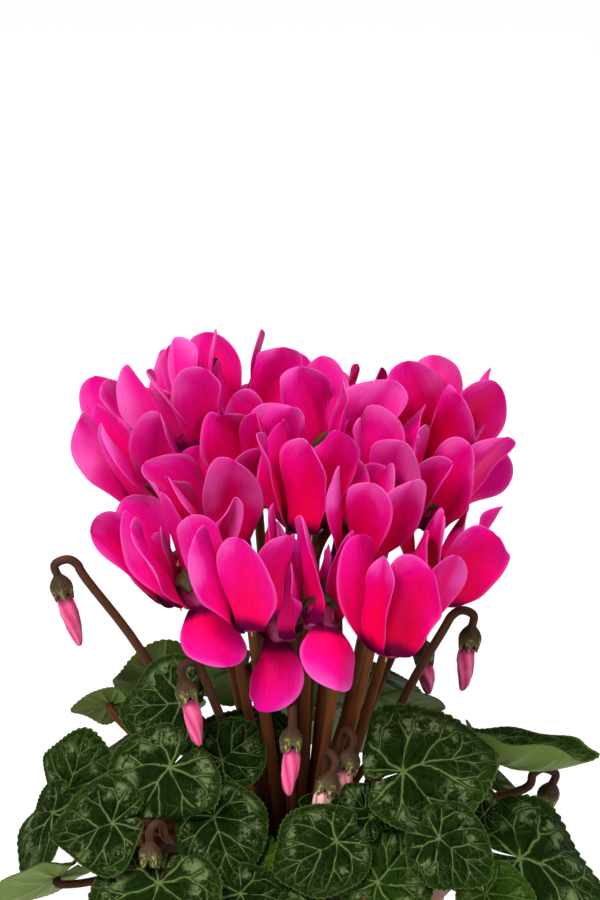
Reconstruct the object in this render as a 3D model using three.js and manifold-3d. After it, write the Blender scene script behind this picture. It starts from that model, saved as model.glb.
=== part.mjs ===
// A potted florist's cyclamen: a plain pot of peat with a corm half buried in it, heart-shaped leaves on
// brown stalks, and a dense dome of magenta flowers with petals swept back over their stems, and some buds.
// Millimetres, +Z up, with the origin at the middle of the pot's underside. The viewer stands at -Y.
import * as THREE from "three";
import { mergeVertices } from "three/addons/utils/BufferGeometryUtils.js";
import Module from "manifold-3d";

const wasm = await Module();
wasm.setup();

// Driving dimensions, in millimetres and degrees.
const seat = 0.3; // gap between a piece and what carries it
const pot = {
  height: 106, mouth: 62, foot: 45, wall: 2.4, floor: 3, rimHeight: 15, rimStep: 2.2,
  holes: 4, hole: 4.5, holeRing: 27, sides: 18,
};
const soilTop = 95;
const corm = { radius: 29, rise: 9, depth: 20, crown: 25 };
const bloom = { length: 42.5, width: 25.5, rim: 5.8, fold: 0.2, start: 80, sweep: 16 };
const lean = { across: 0.0055, away: 0.0012 }; // of a flower's axis, for each millimetre from the middle
const tube = { mouth: 8.4, inner: 5.6, shoulder: 6.4, height: 9, lip: 0.6 };
const calyx = { low: 9.4, high: 13, base: 4.4, top: 2 };
const petalThick = 0.7;
const leafThick = 0.8;
const stemRadius = 1.75;
const budStemRadius = 1.7;
const stalkRadius = 1.5;
const budCalyx = { length: 9, radius: 4.3, mouth: 3.1 };

// Flowers: the middle of the mouth as x, y and height over the soil. The petals are swept back along the
// flower's axis, which leans outwards unless it has one of its own. A petal that hangs is named by its number
// round the flower. The stem stands on the side of the plant's middle, or is turned from there.
const flowers = [
  { at: [-43, -21, 112] },
  { at: [-36, -43, 119], hangs: 3, hangSweep: 118 },
  { at: [-16, -57, 115] },
  { at: [-5, -38, 104], hangs: 1, hangSweep: 148, turned: 48 },
  { at: [9, -54, 113], axis: [0.05, 0.55, 1], hangs: 3, turned: -38 },
  { at: [34, -54, 104] },
  { at: [50, -21, 112] },
  { at: [20, -30, 127], turned: 45 },
  { at: [-52, 4, 141] },
  { at: [-26, -20, 130] },
  { at: [4, -25, 141] },
  { at: [31, -3, 138] },
  { at: [-10, 0, 143] },
  { at: [-36, 6, 161] },
  { at: [14, 14, 148] },
  { at: [49, 4, 133] },
  { at: [50, 22, 148] },
  { at: [2, 40, 144] },
  { at: [-21, 30, 156] },
  { at: [-46, 33, 145] },
  { at: [20, 50, 134] },
  { at: [-26, 56, 126] },
  { at: [46, 50, 118] },
];

// Buds: the calyx's upper end as x, y and height over the soil, the way that the bud points, and how far its
// furled petals stand out. The stem rises from the corm and bows over into the bud.
const buds = [
  { at: [-88, -14, 120], points: [0.3, -0.1, -1], petals: 20 },
  { at: [-41, -44, 90], points: [0.25, -0.3, -1], petals: 17 },
  { at: [-1, -54, 75], points: [-0.05, -0.35, -1], petals: 17 },
  { at: [14, -56, 58], points: [-0.4, -0.35, -1], petals: 8 },
  { at: [21, -48, 64], points: [-0.25, -0.3, -1], petals: 10 },
  { at: [66, -8, 98], points: [-0.15, -0.1, -1], petals: 17 },
  { at: [48, 14, 84], points: [0.1, 0.1, -1], petals: 14 },
  { at: [97, -2, 33], points: [-0.3, 0, -1], petals: 9 },
  { at: [-53, -70, 36], points: [0, -0.4, -1], petals: 0 },
];

// Leaves: where the stalk meets the blade as x, y and height over the soil, the way that the upper face looks
// as a heading from the viewer and a tilt from upright, the tip's turn from downhill, the length from the
// stalk to the tip, and how far the margin droops.
const leaves = [
  { at: [-42, -34, 76], heading: -25, tilt: 62, turn: -80, size: 27, droop: 0.2 },
  { at: [-84, -22, 38], heading: -25, tilt: 65, turn: 175, size: 24, droop: 0.15 },
  { at: [-46, -54, 58], heading: -20, tilt: 52, turn: -30, size: 34, droop: 0.25 },
  { at: [-67, -60, 39], heading: -35, tilt: 52, turn: -60, size: 29, droop: 0.2 },
  { at: [-50, -76, 22], heading: -10, tilt: 44, turn: -10, size: 36, droop: 0.1 },
  { at: [-90, -30, 31], heading: -75, tilt: 55, turn: -10, size: 29, droop: 0.15 },
  { at: [-88, -56, 16], heading: 218, tilt: 50, turn: 60, size: 27, droop: -0.1 },
  { at: [-30, -60, 41], heading: 0, tilt: 60, turn: 20, size: 27, droop: 0.2 },
  { at: [15, -70, 35], heading: 5, tilt: 54, turn: -65, size: 26, droop: 0.12 },
  { at: [-12, -14, 50], heading: -10, tilt: 78, turn: -120, size: 25, droop: 0 },
  { at: [28, -62, 42], heading: 15, tilt: 58, turn: -150, size: 17, droop: 0.1 },
  { at: [40, -54, 57], heading: 10, tilt: 46, turn: 105, size: 39, droop: 0.2 },
  { at: [75, -16, 47], heading: 112, tilt: 27, turn: -30, size: 35, droop: -0.65 },
  { at: [53, -73, 38], heading: 15, tilt: 58, turn: 45, size: 24, droop: 0.15 },
  { at: [84, -52, 22], heading: 40, tilt: 48, turn: 55, size: 44, droop: 0.3 },
  { at: [30, -76, 22], heading: 5, tilt: 52, turn: 140, size: 28, droop: 0.15 },
  { at: [-50, 10, 67], heading: 190, tilt: 60, turn: 180, size: 27, droop: 0 },
  { at: [40, 22, 54], heading: 195, tilt: 45, turn: 175, size: 24, droop: 0 },
  { at: [68, 26, 36], heading: 105, tilt: 40, turn: 10, size: 38, droop: 0.25 },
  { at: [52, 54, 32], heading: 135, tilt: 45, turn: -15, size: 40, droop: 0.25 },
  { at: [20, 68, 38], heading: 165, tilt: 42, turn: 20, size: 38, droop: 0.25 },
  { at: [-20, 70, 31], heading: 195, tilt: 45, turn: -10, size: 40, droop: 0.25 },
  { at: [-54, 50, 38], heading: 225, tilt: 42, turn: 10, size: 38, droop: 0.25 },
  { at: [-72, 16, 34], heading: 262, tilt: 45, turn: -10, size: 36, droop: 0.25 },
  { at: [28, 40, 62], heading: 150, tilt: 38, turn: 0, size: 32, droop: 0.2 },
  { at: [-18, 42, 64], heading: 195, tilt: 40, turn: 0, size: 32, droop: 0.2 },
];

// Young leaves, placed in the same way. They are small and low, and grow in one piece with their stalks.
const youngLeaves = [
  { at: [-10, -61, 26], heading: -10, tilt: 50, turn: -30, size: 16, droop: 0.1 },
  { at: [12, -40, 40], heading: 10, tilt: 62, turn: 165, size: 17, droop: 0.1 },
  { at: [70, -46, 37], heading: 25, tilt: 50, turn: -120, size: 15, droop: 0.1 },
  { at: [70, -68, 13], heading: 30, tilt: 48, turn: 20, size: 24, droop: 0.15 },
  { at: [-69, -4, 65], heading: 185, tilt: 55, turn: 90, size: 15, droop: 0.1 },
  { at: [-27, -40, 56], heading: 0, tilt: 64, turn: 130, size: 20, droop: 0.1 },
  { at: [-20, -74, 16], heading: 0, tilt: 45, turn: 30, size: 24, droop: 0.15 },
  { at: [8, -80, 14], heading: 5, tilt: 45, turn: -15, size: 22, droop: 0.15 },
];

// Small helpers.
const vec = (x, y, z) => new THREE.Vector3(x, y, z);
const up = vec(0, 0, 1);
const foot = vec(0, 0, 0);
const radians = THREE.MathUtils.degToRad;
const smooth = (x) => THREE.MathUtils.smoothstep(x, 0, 1);
const overSoil = ([x, y, z]) => vec(x, y, soilTop + z);

// A value between -1 and 1 that differs from one number to the next.
function vary(number) {
  const wave = Math.sin(number * 12.9898 + 4.1) * 43758.5453;
  return (wave - Math.floor(wave)) * 2 - 1;
}

function toSolid(geometry) {
  geometry.deleteAttribute("normal");
  geometry.deleteAttribute("uv");
  const welded = mergeVertices(geometry, 1e-4);
  return new wasm.Manifold(new wasm.Mesh({
    numProp: 3,
    vertProperties: new Float32Array(welded.attributes.position.array),
    triVerts: new Uint32Array(welded.index.array),
  }));
}

function toGeometry(body) {
  const mesh = body.getMesh();
  const geometry = new THREE.BufferGeometry();
  geometry.setAttribute("position", new THREE.BufferAttribute(mesh.vertProperties, 3));
  geometry.setIndex(new THREE.BufferAttribute(mesh.triVerts, 1));
  return geometry;
}

// A curve through its knots that gives every stretch between two knots one step of the tube along it.
class Route extends THREE.Curve {
  constructor(knots) {
    super();
    this.line = new THREE.CatmullRomCurve3(knots);
    this.steps = knots.length - 1;
  }

  getPoint(t, target) {
    return this.line.getPoint(t, target);
  }

  getUtoTmapping(u) {
    return u;
  }
}

function stem(knots, radius, sides) {
  const route = new Route(knots);
  const section = new THREE.Shape();
  for (let side = 0; side < sides; side++) {
    const angle = side * 2 * Math.PI / sides;
    section[side ? "lineTo" : "moveTo"](radius * Math.cos(angle), radius * Math.sin(angle));
  }
  return new THREE.ExtrudeGeometry(section, { steps: route.steps, bevelEnabled: false, extrudePath: route });
}

// A turned solid along an axis from a point, with its first corner at one side. Its profile has radii and
// distances along the axis.
function lathe(profile, sides, origin, axis, side) {
  const points = profile.map(([radius, along]) => new THREE.Vector2(radius, along));
  const corner = side.clone().addScaledVector(axis, -side.dot(axis)).normalize();
  const turn = new THREE.Matrix4().makeBasis(axis.clone().cross(corner), axis, corner).setPosition(origin);
  return new THREE.LatheGeometry(points, sides).applyMatrix4(turn);
}

// Blades.
// A blade is rows of points on its middle surface. Two rows are joined by a strip of triangles.
function strip(first, second) {
  const triangles = [];
  let a = 0;
  let b = 0;
  while (a < first.length - 1 || b < second.length - 1) {
    const aShare = (a + 1) / Math.max(first.length - 1, 1);
    const bShare = (b + 1) / Math.max(second.length - 1, 1);
    if (b === second.length - 1 || (a < first.length - 1 && aShare <= bShare)) {
      triangles.push([first[a], first[a + 1], second[b]]);
      a += 1;
    } else {
      triangles.push([first[a], second[b + 1], second[b]]);
      b += 1;
    }
  }
  return triangles;
}

// Thickens the middle surface to both sides alike and closes the edge all round.
function thicken(points, triangles, thickness) {
  const normals = points.map(() => vec(0, 0, 0));
  const edges = new Set();
  for (const [a, b, c] of triangles) {
    const face = points[b].clone().sub(points[a]).cross(points[c].clone().sub(points[a]));
    for (const corner of [a, b, c]) normals[corner].add(face);
    for (const [from, to] of [[a, b], [b, c], [c, a]]) edges.add(`${from},${to}`);
  }
  const offset = (side) => points.flatMap((point, index) => (
    point.clone().addScaledVector(normals[index].clone().normalize(), side * thickness / 2).toArray()));
  const count = points.length;
  const indices = triangles.flatMap(([a, b, c]) => [a, b, c, count + c, count + b, count + a]);
  for (const edge of edges) {
    const [from, to] = edge.split(",").map(Number);
    if (edges.has(`${to},${from}`)) continue;
    indices.push(to, from, count + from, to, count + from, count + to);
  }
  const geometry = new THREE.BufferGeometry();
  geometry.setAttribute("position", new THREE.Float32BufferAttribute([...offset(1), ...offset(-1)], 3));
  geometry.setIndex(indices);
  return geometry;
}

// Flowers.
// The flower's axis runs from the mouth towards the petals' tips, and its side looks at the stem.
function flowerFrame(flower, number) {
  const mouth = overSoil(flower.at);
  const own = flower.axis || [mouth.x * lean.across, mouth.y * lean.away, 1];
  const axis = vec(...own).normalize();
  const inwards = Math.atan2(-mouth.y, -mouth.x) + radians(flower.turned ?? 28 * vary(number));
  const side = vec(Math.cos(inwards), Math.sin(inwards), 0);
  side.addScaledVector(axis, -side.dot(axis)).normalize();
  const across = axis.clone().cross(side);
  const place = (toStem, sideways, along) => mouth.clone()
    .addScaledVector(side, toStem).addScaledVector(across, sideways).addScaledVector(axis, along);
  return { mouth, axis, side, place };
}

// The stem bows over behind the flower, between two petals, and down into the calyx.
const hook = [[13.4, -14], [12.8, 4], [8.8, 15], [3, 17], [0, 11.6]];
const petalAngles = [46, 113, 180, 247, 314];

function petalForm(flower, number, turn) {
  const seed = 5 * number + turn;
  const hangs = flower.hangs === turn;
  return {
    angle: radians(petalAngles[turn] + 4 * vary(seed)),
    length: bloom.length * (1 + 0.06 * vary(seed + 0.3)) * (hangs ? 0.68 : 1),
    width: bloom.width * (1 + 0.06 * vary(seed + 0.6)) * (hangs ? 1.08 : 1),
    sweep: hangs ? radians(flower.hangSweep ?? 158) : radians(bloom.sweep + 7 * vary(seed + 0.9)),
    tilt: hangs ? 0 : radians(10),
    twist: hangs ? radians(12) : radians(28 + 12 * vary(seed + 1.2)),
    cup: hangs ? -0.15 : 0.12 + 0.14 * vary(seed + 1.5),
  };
}

// The petal's heading away from the flower's axis: outwards at the mouth, then folded back.
function petalHeading(form, s) {
  const start = radians(bloom.start);
  return start + (form.sweep - start) * smooth(s / bloom.fold) + 0.12 * s * s;
}

// The petal's half width, widest past its middle and round at the tip.
function petalHalf(form, s) {
  const widest = 0.64;
  const share = s < widest
    ? 0.31 + 0.69 * smooth(s / widest) ** 1.1
    : Math.sqrt(Math.max(0, 1 - ((s - widest) / (1.02 - widest)) ** 2.3));
  return form.width / 2 * share;
}

// A point of the petal's middle surface, s along it from the mouth and t across it from margin to margin.
function petalPoint(frame, form, s, t) {
  const pieces = 24;
  let radius = bloom.rim;
  let along = 0;
  for (let piece = 0; piece < pieces; piece++) {
    const heading = petalHeading(form, s * (piece + 0.5) / pieces);
    radius += Math.sin(heading) * form.length * s / pieces;
    along += Math.cos(heading) * form.length * s / pieces;
  }
  const heading = petalHeading(form, s);
  const half = petalHalf(form, s);
  const turn = form.tilt + form.twist * s;
  const sideways = half * (t * Math.cos(turn) + form.cup * t * t * Math.sin(turn));
  const outwards = half * (t * Math.sin(turn) - form.cup * t * t * Math.cos(turn));
  const reach = radius + outwards * Math.cos(heading);
  return frame.place(
    reach * Math.cos(form.angle) - sideways * Math.sin(form.angle),
    reach * Math.sin(form.angle) + sideways * Math.cos(form.angle),
    along - outwards * Math.sin(heading),
  );
}

const petalRows = [[0, 2], [0.17, 2], [0.58, 3], [0.97, 2]];

function petalBlade(flower, number, turn) {
  const frame = flower.frame;
  const form = petalForm(flower, number, turn);
  const points = [];
  const weights = [];
  const rows = petalRows.map(([s, count]) => Array.from({ length: count }, (_, place) => {
    points.push(petalPoint(frame, form, s, 2 * place / (count - 1) - 1));
    weights.push(THREE.MathUtils.clamp((s - 0.05) / 0.2, 0, 1));
    return points.length - 1;
  }));
  const triangles = rows.slice(1).flatMap((row, place) => strip(rows[place], row));
  return { owner: `bloom${number}`, points, weights, triangles, half: petalThick / 2 };
}

// Leaves.
function leafFrame(leaf) {
  const heading = radians(leaf.heading);
  const tilt = radians(leaf.tilt);
  const turn = radians(leaf.turn);
  const ahead = vec(Math.sin(heading), -Math.cos(heading), 0);
  const face = ahead.clone().multiplyScalar(Math.sin(tilt)).addScaledVector(up, Math.cos(tilt));
  const downhill = ahead.clone().multiplyScalar(Math.cos(tilt)).addScaledVector(up, -Math.sin(tilt));
  const right = face.clone().cross(downhill);
  const tip = downhill.multiplyScalar(Math.cos(turn)).addScaledVector(right, Math.sin(turn));
  const across = face.clone().cross(tip);
  return { origin: overSoil(leaf.at), face, tip, across };
}

// The heart's outline as a distance from the stalk, at an angle from the tip.
function leafReach(angle) {
  const lobe = smooth((Math.abs(angle) - radians(140)) / radians(30));
  return (0.7 + 0.22 * Math.cos(angle) + 0.08 * Math.exp(-((angle / 0.25) ** 2))) * (1 - 0.3 * lobe);
}

// A point of the leaf's middle surface, at a share of the way to the margin. The margin droops and waves.
function leafPoint(leaf, number, share, angle, tooth) {
  const { origin, face, tip, across } = leaf.frame;
  const reach = leaf.size * leafReach(angle) * share * tooth;
  const wave = 0.05 * Math.sin(3 * angle + 2 * number) + 0.03 * Math.sin(5 * angle + number);
  const height = leaf.size * share * share * (wave - leaf.droop * leafReach(angle) ** 2);
  return origin.clone()
    .addScaledVector(tip, reach * Math.cos(angle))
    .addScaledVector(across, reach * Math.sin(angle))
    .addScaledVector(face, height);
}

const leafRings = { sinus: 12, outer: 19, inner: 7, middle: 0.52, toothOut: 1.03, toothIn: 0.95 };
const youngRings = { ...leafRings, outer: 10, inner: 5 };

function leafBlade(leaf, number, rings) {
  const points = [leaf.frame.origin.clone()];
  const weights = [0];
  const ring = (count, share, tooth, weight) => Array.from({ length: count }, (_, place) => {
    const angle = radians((180 - rings.sinus) * (2 * place / (count - 1) - 1));
    points.push(leafPoint(leaf, number, share, angle, tooth(place)));
    weights.push(weight);
    return points.length - 1;
  });
  const inner = ring(rings.inner, rings.middle, () => 1, 0.8);
  const outer = ring(rings.outer, 1, (place) => (place % 2 ? rings.toothIn : rings.toothOut), 1);
  const triangles = [...strip([0], inner), ...strip(inner, outer)];
  return { owner: `leaf${number}`, rings, points, weights, triangles, half: leafThick / 2 };
}

// Stems. Every root is sunk in the corm on the side where its stem goes, the farthest-reaching outermost.
const stemmed = [...flowers, ...buds, ...leaves, ...youngLeaves];

function root(target) {
  const distance = (one) => Math.hypot(one.at[0], one.at[1]);
  const own = Math.hypot(target.x, target.y);
  const rank = stemmed.filter((one) => distance(one) < own).length;
  const reach = corm.crown * Math.sqrt((rank + 0.5) / stemmed.length);
  const angle = Math.atan2(target.y, target.x);
  return vec(reach * Math.cos(angle), reach * Math.sin(angle), soilTop + 2);
}

// The nearest point to a place on the stretch between two ends.
function nearest(place, from, to) {
  return new THREE.Line3(from, to).closestPointToPoint(place, true, vec(0, 0, 0));
}

// A flower stem finds its way up between the other flowers' hearts.
function steer(knots, hearts, spacing) {
  for (let round = 0; round < 40; round++) {
    for (let knot = 1; knot < knots.length - 1; knot++) {
      const middle = knots[knot - 1].clone().add(knots[knot + 1]).multiplyScalar(0.5);
      knots[knot].lerp(middle, 0.15);
      for (const [from, to] of hearts) {
        const away = knots[knot].clone().sub(nearest(knots[knot], from, to));
        away.z = 0;
        const distance = away.length();
        if (distance > 0.01 && distance < spacing && knots[knot].z > from.z - 6) {
          knots[knot].addScaledVector(away, (spacing - distance) / distance);
        }
      }
    }
  }
  return knots;
}

function flowerStem(flower) {
  const bend = hook.map(([toStem, along]) => flower.frame.place(toStem, 0, along));
  const from = root(bend[0]);
  const knots = [0, 0.3, 0.65, 1].map((share) => from.clone().lerp(bend[0], share));
  const others = flowers.filter((other) => other !== flower);
  const hearts = others.map((other) => [other.frame.place(0, 0, -3), other.frame.place(0, 0, 24)]);
  return [...steer(knots, hearts, 13.5), ...bend.slice(1)];
}

function budStem(bud) {
  const { top, axis } = bud;
  const from = root(top);
  const side = vec(from.x - top.x, from.y - top.y, 0).normalize();
  const over = (sideways, height) => top.clone().addScaledVector(side, sideways).addScaledVector(up, height);
  const shoulder = over(11, -3);
  const bulge = vec(from.x * 1.8, from.y * 1.8, shoulder.z * 0.6 + 40);
  const rise = new THREE.QuadraticBezierCurve3(from, bulge, shoulder);
  return [
    rise.getPoint(0), rise.getPoint(0.35), rise.getPoint(0.7), shoulder, over(7.5, 3.2), over(3.6, 5.4),
    top.clone().addScaledVector(axis, -3.4), top.clone().addScaledVector(axis, 1.5),
  ];
}

// A stalk ends square under the blade, as low as the blade's dip beside it asks, or inside a young blade.
function leafStalk(blade, grown) {
  const [middle, ...ring] = blade.points.slice(0, blade.rings.inner + 1);
  const spokes = ring.map((point) => point.clone().sub(middle));
  const face = vec(0, 0, 0);
  for (let place = 1; place < spokes.length; place++) {
    face.add(spokes[place - 1].clone().cross(spokes[place]).normalize());
  }
  face.normalize();
  const dip = Math.max(0, ...spokes.map((spoke) => Math.tan(spoke.angleTo(face) - Math.PI / 2)));
  const below = leafThick / 2 + seat + 1.4 * stalkRadius * dip + 0.15;
  const end = middle.clone().addScaledVector(face, grown ? -below : 0);
  const from = root(end);
  const arch = from.clone().lerp(end, 0.3);
  arch.z = Math.max(pot.height + 16, from.z + 0.6 * (end.z - from.z));
  const approach = end.clone().addScaledVector(face, -0.16 * from.distanceTo(end));
  const neck = end.clone().addScaledVector(face, -3);
  return [...new THREE.CubicBezierCurve3(from, arch, approach, neck).getPoints(3), end];
}

// Keeping blades apart.
// Directions all round, each a little farther round the golden angle.
const directions = Array.from({ length: 130 }, (_, place) => {
  const height = 1 - (2 * place + 1) / 130;
  const angle = place * Math.PI * (3 - Math.sqrt(5));
  const radius = Math.sqrt(1 - height * height);
  return vec(radius * Math.cos(angle), radius * Math.sin(angle), height);
});
const nudges = [vec(1, 0, 0), vec(-1, 0, 0), vec(0, 1, 0), vec(0, -1, 0), vec(0, 0, 1), vec(0, 0, -1)];

// The plane that parts two sets of points best, with the gap between them across it.
function widestCut(first, second) {
  let best = { gap: -Infinity };
  const consider = (normal) => {
    let high = -Infinity;
    let low = Infinity;
    for (const point of first) high = Math.max(high, normal.dot(point));
    for (const point of second) low = Math.min(low, normal.dot(point));
    if (low - high > best.gap) best = { normal, gap: low - high, high, low };
  };
  for (const direction of directions) consider(direction);
  for (const step of [0.16, 0.08, 0.04, 0.02]) {
    for (const nudge of nudges) consider(best.normal.clone().addScaledVector(nudge, step).normalize());
  }
  return best;
}

// Pushes a blade's points back over a plane, softly at first so that it bends rather than breaks.
function pushBack(blade, normal, limit, softness) {
  blade.points.forEach((point, index) => {
    const depth = limit - normal.dot(point);
    const kept = softness ? softness * Math.log1p(Math.exp(depth / softness)) : Math.max(depth, 0);
    point.addScaledVector(normal, (depth - kept) * blade.weights[index]);
  });
}

function boundsOf(points) {
  return new THREE.Box3().setFromPoints(points).getBoundingSphere(new THREE.Sphere());
}

// A blade keeps clear of the other blades and of what cannot give way: stems, buds, flower tubes and the pot.
function keepApart(blades, obstacles, rounds) {
  const breath = 0.25;
  const solidBounds = obstacles.map((obstacle) => boundsOf(obstacle.points));
  for (let round = 0; round < rounds; round++) {
    const softness = round < 3 ? 0.8 : 0;
    const bounds = blades.map((blade) => boundsOf(blade.points));
    blades.forEach((blade, index) => {
      for (let other = index + 1; other < blades.length; other++) {
        const reach = bounds[index].radius + bounds[other].radius + 2;
        if (bounds[index].center.distanceTo(bounds[other].center) > reach) continue;
        const sibling = blade.owner === blades[other].owner;
        const free = ({ points, weights }) => points.filter((_, place) => !sibling || weights[place] > 0.9);
        const cut = widestCut(free(blade), free(blades[other]));
        if (cut.gap > blade.half + blades[other].half + 2 * breath) continue;
        const middle = (cut.high + cut.low) / 2;
        const behind = cut.normal.clone().negate();
        pushBack(blade, cut.normal, middle - blade.half - breath, softness);
        pushBack(blades[other], behind, -middle - blades[other].half - breath, softness);
      }
      obstacles.forEach((obstacle, other) => {
        if (obstacle.carries === blade.owner) return;
        const reach = bounds[index].radius + solidBounds[other].radius + obstacle.radius + 2;
        if (bounds[index].center.distanceTo(solidBounds[other].center) > reach) return;
        const cut = widestCut(blade.points, obstacle.points);
        const clear = blade.half + obstacle.radius + 2 * breath;
        if (cut.gap < clear) pushBack(blade, cut.normal, cut.low - clear, softness);
      });
    });
  }
}

function alongStem(knots, radius, carries) {
  return knots.slice(1).map((knot, place) => ({ points: [knots[place], knot], radius, carries }));
}

function circle(radius, height, count) {
  return Array.from({ length: count }, (_, place) => {
    const angle = place * 2 * Math.PI / count;
    return vec(radius * Math.cos(angle), radius * Math.sin(angle), height);
  });
}

// The plant.
flowers.forEach((flower, number) => {
  flower.frame = flowerFrame(flower, number);
});
flowers.forEach((flower) => {
  flower.stem = flowerStem(flower);
});
for (const bud of buds) {
  bud.top = overSoil(bud.at);
  bud.axis = vec(...bud.points).normalize();
  bud.stem = budStem(bud);
}
for (const leaf of [...leaves, ...youngLeaves]) {
  leaf.frame = leafFrame(leaf);
}
const petals = flowers.flatMap((flower, number) => (
  petalAngles.map((_, turn) => petalBlade(flower, number, turn))));
const leafBlades = leaves.map((leaf, number) => leafBlade(leaf, number, leafRings));
const youngBlades = youngLeaves.map((leaf, number) => leafBlade(leaf, leaves.length + number, youngRings));
const stalkOf = (blade) => leafStalk(blade, leafBlades.includes(blade));

const obstacles = [{ points: [...circle(pot.mouth, pot.height, 24), ...circle(pot.foot, 0, 24)], radius: 0 }];
flowers.forEach((flower, number) => {
  const { place } = flower.frame;
  obstacles.push({ points: [place(0, 0, 0), place(0, 0, 5)], radius: tube.mouth, carries: `bloom${number}` });
  obstacles.push(...alongStem(flower.stem, stemRadius));
});
for (const bud of buds) {
  const along = (distance) => bud.top.clone().addScaledVector(bud.axis, distance);
  obstacles.push({ points: [along(4), along(7)], radius: budCalyx.radius });
  if (bud.petals) obstacles.push({ points: [along(9), along(9 + bud.petals - 3)], radius: 3.3 });
  obstacles.push(...alongStem(bud.stem, budStemRadius));
}
for (const blade of [...leafBlades, ...youngBlades]) {
  obstacles.push(...alongStem(stalkOf(blade), stalkRadius, blade.owner));
}
keepApart([...petals, ...leafBlades, ...youngBlades], obstacles, 8);

// The solids.
const group = new THREE.Group();

function addPiece(name, geometry, colour, roughness) {
  const material = new THREE.MeshStandardMaterial({ color: colour, roughness, metalness: 0 });
  const mesh = new THREE.Mesh(geometry, material);
  mesh.name = name;
  group.add(mesh);
}

function numbered(name, number) {
  return `${name}_${String(number + 1).padStart(2, "0")}`;
}

function potBody() {
  const rimFoot = pot.height - pot.rimHeight;
  const inner = (height) => pot.foot - pot.wall + (pot.mouth - pot.foot - pot.rimStep) * height / pot.height;
  const outer = (height) => inner(height) + pot.wall;
  const profile = [
    [0, 0], [outer(0), 0], [outer(rimFoot), rimFoot], [pot.mouth - 0.6, rimFoot], [pot.mouth, rimFoot + 1.5],
    [pot.mouth, pot.height - 1], [pot.mouth - 1, pot.height], [inner(pot.height), pot.height],
    [inner(pot.floor), pot.floor], [0, pot.floor],
  ];
  let body = toSolid(lathe(profile, pot.sides, foot, up, vec(1, 0, 0)));
  for (let hole = 0; hole < pot.holes; hole++) {
    const angle = hole * 2 * Math.PI / pot.holes;
    const drill = new THREE.CylinderGeometry(pot.hole, pot.hole, 3 * pot.floor, 7).rotateX(Math.PI / 2);
    drill.translate(pot.holeRing * Math.cos(angle), pot.holeRing * Math.sin(angle), pot.floor / 2);
    body = body.subtract(toSolid(drill));
  }
  return { body, inner };
}

// The corm's outline: a flat dome above the soil and a bowl below it.
function cormProfile(grow) {
  const profile = [];
  for (let step = 0; step <= 6; step++) {
    const angle = -Math.PI / 2 + step * Math.PI / 6;
    const height = (angle < 0 ? corm.depth : corm.rise) + grow;
    profile.push([Math.max(0, (corm.radius + grow) * Math.cos(angle)), soilTop + height * Math.sin(angle)]);
  }
  profile[0][0] = 0;
  profile[6][0] = 0;
  return profile;
}

function soilBody(inner) {
  const gap = seat + 0.15;
  const hollow = cormProfile(gap).slice(0, 4);
  const wall = (height) => inner(height) - gap;
  const bottom = pot.floor + seat;
  const profile = [
    [0, bottom], [wall(bottom), bottom], [wall(soilTop - 2), soilTop - 2], [wall(soilTop) - 4, soilTop - 0.5],
    [corm.radius + 12, soilTop + 1.2], ...hollow.reverse(),
  ];
  return lathe(profile, pot.sides, foot, up, vec(1, 0, 0));
}

function crownBody() {
  const bodies = [toSolid(lathe(cormProfile(0), 12, foot, up, vec(1, 0, 0)))];
  for (const flower of flowers) {
    const { mouth, axis, side } = flower.frame;
    bodies.push(toSolid(stem(flower.stem, stemRadius, 5)));
    const cup = [[0, calyx.low], [calyx.base, calyx.low], [calyx.top, calyx.high], [0, calyx.high]];
    bodies.push(toSolid(lathe(cup, 5, mouth, axis, side)));
  }
  for (const bud of buds) {
    const { length, radius, mouth } = budCalyx;
    const cup = [
      [0, 0], [2, 0], [radius, 0.4 * length], [radius - 0.1, 0.7 * length], [mouth, length], [0, length],
    ];
    bodies.push(toSolid(stem(bud.stem, budStemRadius, 4)));
    bodies.push(toSolid(lathe(cup, 5, bud.top, bud.axis, vec(1, 0, 0))));
  }
  for (const blade of [...leafBlades, ...youngBlades]) {
    bodies.push(toSolid(stem(stalkOf(blade), stalkRadius, 4)));
  }
  bodies.push(...youngBlades.map((blade) => toSolid(thicken(blade.points, blade.triangles, leafThick))));
  return wasm.Manifold.union(bodies);
}

function bloomBody(number) {
  const { mouth, axis, side } = flowers[number].frame;
  const { height, shoulder, inner, lip } = tube;
  const profile = [[0, height], [shoulder, height - 2], [tube.mouth, -lip], [inner, -lip], [0, 5]].reverse();
  const blades = petals.slice(5 * number, 5 * number + 5);
  const bodies = blades.map((blade) => toSolid(thicken(blade.points, blade.triangles, petalThick)));
  return wasm.Manifold.union([toSolid(lathe(profile, 5, mouth, axis, side)), ...bodies]);
}

function furledPetals(bud) {
  const start = bud.top.clone().addScaledVector(bud.axis, budCalyx.length + seat);
  const end = bud.petals - seat;
  const profile = [[0, 0], [budCalyx.mouth - 0.3, 0], [3.3, 0.3 * end], [2.1, 0.75 * end], [0, end]];
  return lathe(profile, 5, start, bud.axis, vec(1, 0, 0));
}

const { body, inner } = potBody();
addPiece("pot", toGeometry(body), 0x6b3a26, 0.7);
addPiece("potting_soil", soilBody(inner), 0x2a1c14, 0.95);
addPiece("corm_and_stems", toGeometry(crownBody()), 0x5a3022, 0.55);
flowers.forEach((_, number) => {
  addPiece(numbered("bloom", number), toGeometry(bloomBody(number)), 0xe0106e, 0.5);
});
buds.filter((bud) => bud.petals).forEach((bud, number) => {
  addPiece(numbered("bud_petals", number), furledPetals(bud), 0xe4577f, 0.5);
});
leafBlades.forEach((blade, number) => {
  addPiece(numbered("leaf", number), thicken(blade.points, blade.triangles, leafThick), 0x1f4a2c, 0.45);
});

export default group;
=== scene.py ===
import math

import bmesh
import bpy
import numpy as np
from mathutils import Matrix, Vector
from mathutils.noise import fractal


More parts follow.
